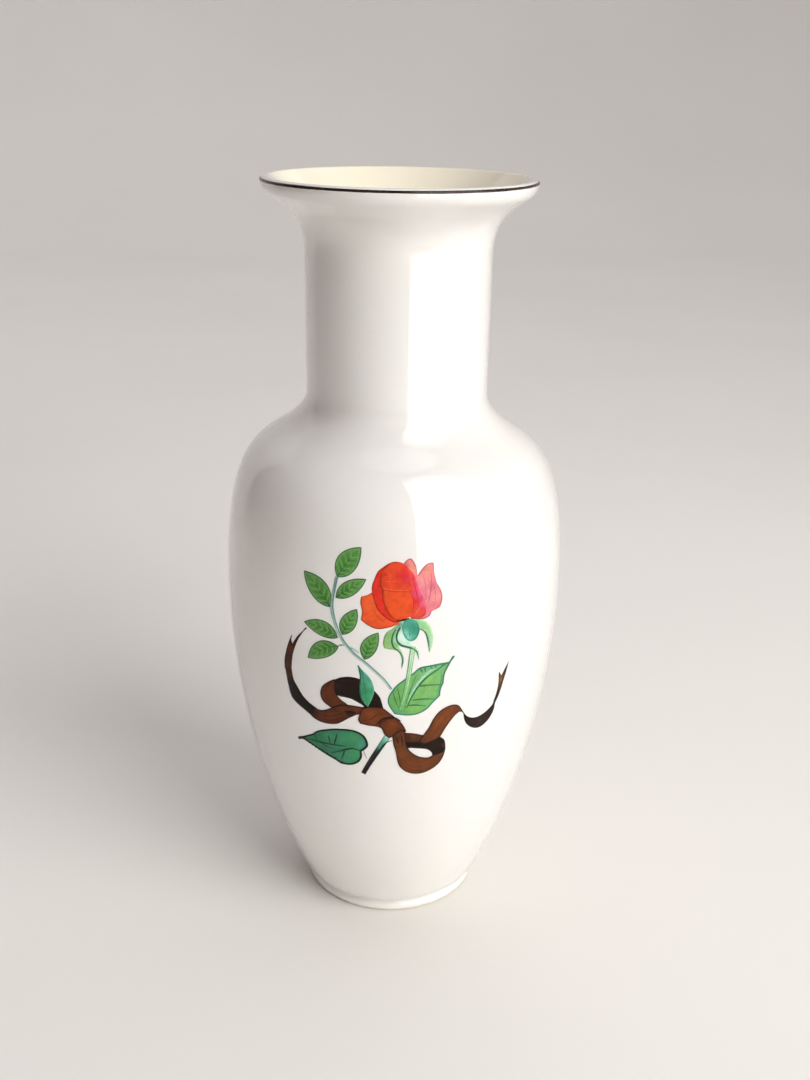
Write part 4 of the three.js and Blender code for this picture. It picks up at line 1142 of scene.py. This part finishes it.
def ribbon_knot():
    """The two wraps of the knot."""
    left = outline(
        [(-10.3, 94.3), (-9.4, 96.4), (-7.6, 97.2), (-5, 97.5), (-3, 97.2), (-0.8, 95.4), (0.6, 94.2)],
        [(0.6, 94.2), (0.6, 93.2), (-1.4, 92.6), (-3.4, 91), (-3.4, 89.6)],
        [(-3.4, 89.6), (-4.8, 90.1), (-7.5, 90.3), (-10.2, 90.8)],
        [(-10.2, 90.8), (-10.8, 92.2), (-10.3, 94.3)],
    )
    piece = Print("ribbon_knot_left", "ribbon_brown", 3)
    piece.patch(left, "#6e3719", rim=("#431f0c", 0.5), washes=[
        (-7, 94.6, 2.0, "#7a401e", 0.8), (-3.4, 95.4, 1.4, "#613015", 0.7), (-9, 91.8, 1.2, "#623217", 0.7),
    ])
    piece.contour(left, OUTLINE_WIDTH, OUTLINE)
    piece.stroke([(-9.6, 92), (-7, 92.6), (-5, 94.4), (-2.4, 95.2)], (0.06, 0.24, 0.06), "#4e230b")
    piece.stroke([(-9.4, 93.8), (-7, 94.8), (-4.6, 96.2)], (0.06, 0.18, 0.06), "#864b23").finish()

    right = outline(
        [(-4.3, 91), (-2.8, 92.6), (-0.8, 93.5), (1, 93.4), (2.6, 92.3), (4, 90.1), (4.7, 88.4)],
        [(4.7, 88.4), (2.8, 88.5), (0.3, 86.5), (-0.9, 85.9)],
        [(-0.9, 85.9), (-2.3, 87.2), (-3.2, 89.3), (-4.3, 91)],
    )
    piece = Print("ribbon_knot_right", "ribbon_brown", 4)
    piece.patch(right, "#683115", rim=("#3d1c0b", 0.5), washes=[
        (0, 90.8, 1.9, "#733917", 0.9), (-1.6, 87.6, 1.3, "#543216", 0.8), (2.8, 89.4, 1.2, "#512610", 0.7),
    ])
    piece.contour(right, OUTLINE_WIDTH, OUTLINE)
    piece.stroke(
        [(-4.9, 90.9), (-3.2, 92.9), (-1, 93.8), (1, 93.7), (2.7, 92.5)], (0.34, 0.5, 0.2), "#240f06",
    )
    piece.stroke([(-1.6, 91), (0.4, 91.6), (2.2, 90.2)], (0.06, 0.2, 0.06), "#84451b")
    piece.stroke([(1.2, 88), (2.6, 88.6), (4.4, 88.6)], (0.1, 0.4, 0.2), "#2a1307").finish()


def ribbon_right():
    """The ribbon's right half: the lower loop, the band over it, the dark turn and the forked tail."""
    loop = outline(
        [
            (0.2, 86.2), (0.6, 83.2), (1.4, 80.4), (1.9, 77.3), (2.8, 74.5), (5, 72.3), (8.1, 71.2),
            (11.3, 71.4), (14.4, 72.8), (16.6, 74.8), (17.8, 77.3), (18.3, 80),
        ],
        [(18.3, 80), (16.6, 78.9), (14.1, 78.3)],
        [(14.1, 78.3), (12.5, 77.5), (10, 77.9), (8.1, 78.9), (6.7, 80.1), (5.9, 81)],
        [(5.9, 81), (5, 82.6), (4.6, 85), (4.4, 88.2)],
        [(4.4, 88.2), (3.8, 89.6), (1.4, 89), (0.2, 86.2)],
    )
    piece = Print("ribbon_loop_right", "ribbon_brown", 2)
    piece.patch(loop, "#683819", rim=("#43210d", 0.5), washes=[
        (3.4, 80.4, 1.8, "#704019", 0.8), (6.6, 75, 2.4, "#753918", 0.8), (11.6, 74.6, 2.0, "#703a1e", 0.8),
        (16.4, 77, 1.6, "#5f391e", 0.8), (2.2, 86, 1.6, "#4c2915", 0.8), (9.4, 72.2, 1.8, "#5e391c", 0.7),
        (14, 73.6, 1.3, "#613a1c", 0.7),
    ])
    piece.contour(loop, OUTLINE_WIDTH, OUTLINE)
    piece.stroke([(1.2, 86.6), (1.9, 85), (2.2, 83.4)], (0.1, 0.46, 0.1), "#271007")
    piece.stroke([(2.9, 87.4), (3.4, 85), (3.6, 82.6)], (0.12, 0.44, 0.1), "#2d160a")
    for offset, colour in ((0.0, "#522811"), (0.8, "#7f451e"), (1.7, "#582d12"), (2.7, "#7c431f")):
        piece.stroke([
            (2.6 + offset * 0.5, 79.4), (3.6 + offset * 0.6, 75.6 + offset * 0.35), (6.4, 73 + offset),
            (9.6, 72.4 + offset), (12.8, 73.2 + offset * 0.9), (15.4, 75 + offset * 0.7),
        ], (0.05, 0.17, 0.05), colour)
    piece.finish()

    reverse = outline(
        [(4, 84.4), (8.8, 84.2), (11, 84.2), (13.7, 85), (16.2, 85.1)],
        [(16.2, 85.1), (17.7, 83.6), (18.3, 80.6), (18.2, 79.4)],
        [(18.2, 79.4), (16.4, 78.2), (14, 77.8)],
        [(14, 77.8), (13.4, 79.5), (11.9, 80.8), (9.4, 81.4), (6, 81.8), (4.2, 81.2)],
        [(4.2, 81.2), (4, 84.4)],
    )
    piece = Print("ribbon_loop_right_reverse", "ribbon_dark", 1)
    piece.patch(reverse, DARK, rim=("#2a160a", 0.35), washes=[
        (14.8, 82.4, 1.8, "#261906", 0.8), (17.6, 81.6, 1.0, "#432412", 0.8),
        (8, 82.8, 1.5, "#170b04", 0.8),
    ]).finish()

    back = outline(
        [(3.6, 87.9), (4.7, 87.8), (7.5, 87.4), (10.1, 86.6), (11.2, 86.6)],
        [(11.2, 86.6), (10, 83.8)],
        [(10, 83.8), (4, 83.8)],
        [(4, 83.8), (3.6, 87.9)],
    )
    piece = Print("ribbon_loop_right_back", "ribbon_brown", 0)
    piece.patch(
        back, "#4d2918", rim=("#30160a", 0.4),
        washes=[(7.2, 86.4, 1.2, "#623724", 0.8), (5.4, 85.6, 0.9, "#361c0d", 0.7)],
    )
    piece.contour(back, OUTLINE_WIDTH, OUTLINE)
    piece.finish()

    over = outline(
        [
            (9, 84.1), (10.4, 86.8), (11.9, 89.2), (13.4, 92.6), (15.3, 95.1), (17.8, 96.5),
            (20, 96.8), (21.9, 95.9), (23.9, 92.6),
        ],
        [(23.9, 92.6), (22.4, 93.7), (20.9, 92.9), (19.4, 91.1), (17.8, 88.6), (16.7, 86.4), (16, 85.2)],
        [(16, 85.2), (13.8, 84), (11, 83.2), (9, 84.1)],
    )
    piece = Print("ribbon_band_right", "ribbon_brown", 2)
    piece.patch(over, "#703b1b", rim=("#45220f", 0.5), washes=[
        (15.6, 91.6, 2.0, "#7c411f", 0.9), (18.4, 94.6, 1.7, "#773d21", 0.8),
        (13, 86.6, 1.8, "#633a1c", 0.8),
        (10.6, 84.6, 1.2, "#512d1b", 0.8), (21.8, 94.6, 1.3, "#613a25", 0.8),
    ])
    piece.contour(over, OUTLINE_WIDTH, OUTLINE)
    for offset, colour in ((0.0, "#5b2e12"), (1.1, "#8b4c24"), (2.2, "#5f3216"), (3.2, "#804924")):
        piece.stroke([
            (11.6 + offset, 86.8 - offset * 0.35), (13.4 + offset, 90.4 - offset * 0.4),
            (15.6 + offset, 93.6 - offset * 0.5), (18.6 + offset * 0.6, 95.4 - offset * 0.6),
        ], (0.05, 0.18, 0.05), colour)
    piece.finish()

    turn = outline(
        [(23.5, 93.3), (24.8, 91.6), (26.6, 90.4), (28.8, 90), (31.2, 90.6), (33.2, 91.7), (35, 93.2)],
        [(35, 93.2), (35.8, 93.1)],
        [
            (35.8, 93.1), (35.6, 90.7), (34.1, 87.9), (31.9, 86.1), (29.7, 85.6),
            (27.2, 86.5), (25.3, 88.2), (24.1, 90.4), (23.5, 93.3),
        ],
    )
    piece = Print("ribbon_tail_right_reverse", "ribbon_dark", 0)
    piece.patch(turn, "#261611", rim=("#180e0a", 0.4), washes=[
        (31, 88.4, 1.8, "#301d1f", 0.7), (34.8, 91.4, 1.2, "#1f1c1f", 0.8),
        (26.2, 88.6, 1.3, "#28180d", 0.7),
    ])
    for drop in (0.7, 1.5, 2.3, 3.1):
        piece.stroke(
            [(26 + drop * 0.35, 90.6 - drop), (28.8, 89.9 - drop), (31.6, 90.5 - drop),
             (33.8, 91.8 - drop)],
            (0.05, 0.14, 0.05), "#433026",
        )
    piece.finish()

    tip = outline(
        [(34.6, 92.6), (35.1, 93.9), (35.7, 96), (36.2, 98.6), (36.3, 101), (36, 104.9)],
        [(36, 104.9), (37.3, 103)],
        [(37.3, 103), (38.2, 104.6), (40, 107.4)],
        [(40, 107.4), (39.2, 103.8), (38.4, 100.8), (37.7, 98), (36.9, 95.6), (36, 93.6), (35.6, 92.2)],
        [(35.6, 92.2), (34.6, 92.6)],
    )
    piece = Print("ribbon_tail_right", "ribbon_brown", 1)
    piece.patch(tip, "#5a3a1f", rim=("#36220f", 0.35), washes=[
        (37, 101.6, 1.5, "#80562c", 0.9), (39.2, 105.4, 1.5, "#38281c", 0.9),
        (35.8, 95.6, 1.9, "#2c1d14", 0.9),
        (36.2, 104.4, 0.8, "#3a2818", 0.9),
    ])
    piece.stroke(
        [(35.3, 93.4), (36.4, 96.2), (37.3, 99.4), (38.3, 102.6), (39.8, 106.8)],
        (0.3, 0.34, 0.12), "#1e1610",
    )
    piece.stroke([(35.1, 94), (36, 97), (36.4, 100.4), (36.2, 104.2)], (0.24, 0.2, 0.1), "#2a1b10").finish()


# ---- Studio ------------------------------------------------------------------------------------

def studio_floor():
    """A pale floor that rises in a wide curve all round, so that it has no edge."""
    flat, rise, top = 1.6, 0.9, 2.4
    curve = arc((flat, rise), rise, 270, 360, 16)
    profile = np.vstack([[(0, 0), (0.3, 0), (0.8, 0)], curve, [(flat + rise, top)]])
    mesh = turned("studio_floor", profile / MM, 96)
    mesh.flip_normals()
    mesh.materials.append(floor_material())
    floor = bpy.data.objects.new("studio_floor", mesh)
    bpy.context.scene.collection.objects.link(floor)


def lamp(name, place, target, size, power, colour, spread):
    """A soft rectangular light at a place, turned towards a target, in metres, watts and degrees. The
    glaze doesn't mirror it: the gleam is what the glaze shows of the window."""
    data = bpy.data.lights.new(name, "AREA")
    data.shape = "RECTANGLE"
    data.size, data.size_y = size
    data.energy = power
    data.color = colour
    data.spread = math.radians(spread)
    light = bpy.data.objects.new(name, data)
    light.location = place
    light.rotation_euler = (Vector(target) - Vector(place)).to_track_quat("-Z", "Y").to_euler()
    light.visible_camera = False
    light.visible_glossy = False
    bpy.context.scene.collection.objects.link(light)


def panel(name, near, far, height, material, **visible):
    """An upright sheet beside the vase that the camera doesn't see and that casts no shadow."""
    near, far, up = Vector((*near, 0)), Vector((*far, 0)), Vector((0, 0, height))
    mesh = bpy.data.meshes.new(name)
    mesh.from_pydata([near, far, far + up, near + up], [], [(0, 1, 2, 3)])
    mesh.materials.append(material)
    sheet = bpy.data.objects.new(name, mesh)
    sheet.visible_camera = False
    sheet.visible_shadow = False
    for ray, seen in visible.items():
        setattr(sheet, ray, seen)
    bpy.context.scene.collection.objects.link(sheet)


def dark_card():
    """A dull mauve card on the left, out of the picture, which keeps that side of the vase in shade. It
    thins out towards the floor and towards its front edge, so its mirror image has no outline."""
    material, shader, node, link = new_material("dark_card")
    place = node("ShaderNodeTexCoord").outputs["Object"]
    mottle = ranged(node, noise(node, place, 4), 0, 1)
    link(mixed(node, mottle, "#5a474b", "#665257"), shader.inputs["Base Color"])
    shader.inputs["Roughness"].default_value = 0.9
    axes = node("ShaderNodeSeparateXYZ", {"Vector": place}).outputs
    low = ranged(node, axes["Z"], 0, 1, *CARD_FADE_LOW)
    front = ranged(node, axes["Y"], 0, 1, *CARD_FADE_FRONT)
    link(times(node, low, front), shader.inputs["Alpha"])
    panel("dark_card", *CARD, material)


def gleam():
    """The window as the glaze mirrors it: a glow that only reflections see. Its near edge is the line down
    the neck, and it fades out at its top, its foot and its far end."""
    material, shader, node, link = new_material("gleam")
    place = node("ShaderNodeTexCoord").outputs["Object"]
    axes = node("ShaderNodeSeparateXYZ", {"Vector": place}).outputs
    strength = ranged(node, axes["X"], 1, 0, *GLEAM_FADE_FAR)
    strength = times(node, strength, ranged(node, axes["Z"], 0, 1, *GLEAM_FADE_FOOT))
    strength = times(node, strength, ranged(node, axes["Z"], 1, 0, *GLEAM_FADE_TOP))
    link(times(node, strength, GLEAM_STRENGTH), shader.inputs["Emission Strength"])
    shader.inputs["Base Color"].default_value = (0, 0, 0, 1)
    shader.inputs["Emission Color"].default_value = (1.0, 0.99, 0.97, 1)
    panel("gleam", *GLEAM, material, visible_diffuse=False)


def lights():
    """A large window on the right and a softer light from above."""
    lamp("window", (0.85, -0.75, 0.75), (0, 0, 0.12), (1.0, 1.0), 6.4, (1.0, 0.99, 0.965), 100)
    lamp("ceiling", (0, 1.2, 2.3), (0, 0.9, 0), (3.4, 3.0), 33, (1.0, 0.98, 0.99), 180)
    world = bpy.data.worlds.new("studio")
    world.use_nodes = True
    sky = world.node_tree.nodes["Background"]
    sky.inputs["Color"].default_value = (1.0, 0.95, 0.95, 1)
    sky.inputs["Strength"].default_value = 0.1
    bpy.context.scene.world = world


def camera():
    """A hand-held view from in front and above, in metres and degrees."""
    height = HEIGHT * MM
    pitch, yaw, roll = math.radians(21.66), math.radians(0.55), math.radians(-1.03)
    forward = Vector((math.sin(yaw) * math.cos(pitch), math.cos(yaw) * math.cos(pitch), -math.sin(pitch)))
    right = Vector((math.cos(yaw), -math.sin(yaw), 0))
    down = forward.cross(right)
    right, down = (
        math.cos(roll) * right + math.sin(roll) * down,
        math.cos(roll) * down - math.sin(roll) * right,
    )
    data = bpy.data.cameras.new("camera")
    data.lens = 39.16
    data.sensor_width = 36
    data.clip_start = 0.01
    view = bpy.data.objects.new("camera", data)
    turn = Matrix((right, -down, -forward)).transposed()
    view.matrix_world = Matrix.Translation((0, -1.4924 * height, 1.1163 * height)) @ turn.to_4x4()
    bpy.context.scene.collection.objects.link(view)
    bpy.context.scene.camera = view


# ---- The scene ---------------------------------------------------------------------------------

camera()
lights()
studio_floor()
dark_card()
gleam()
porcelain()
lip_line()
leaflets()
sprig()
rose()
calyx()
rose_leaf()
narrow_leaf()
heart_leaf()
cut_stem()
ribbon_left()
ribbon_knot()
ribbon_right()

bpy.context.scene.view_settings.view_transform = "Standard"
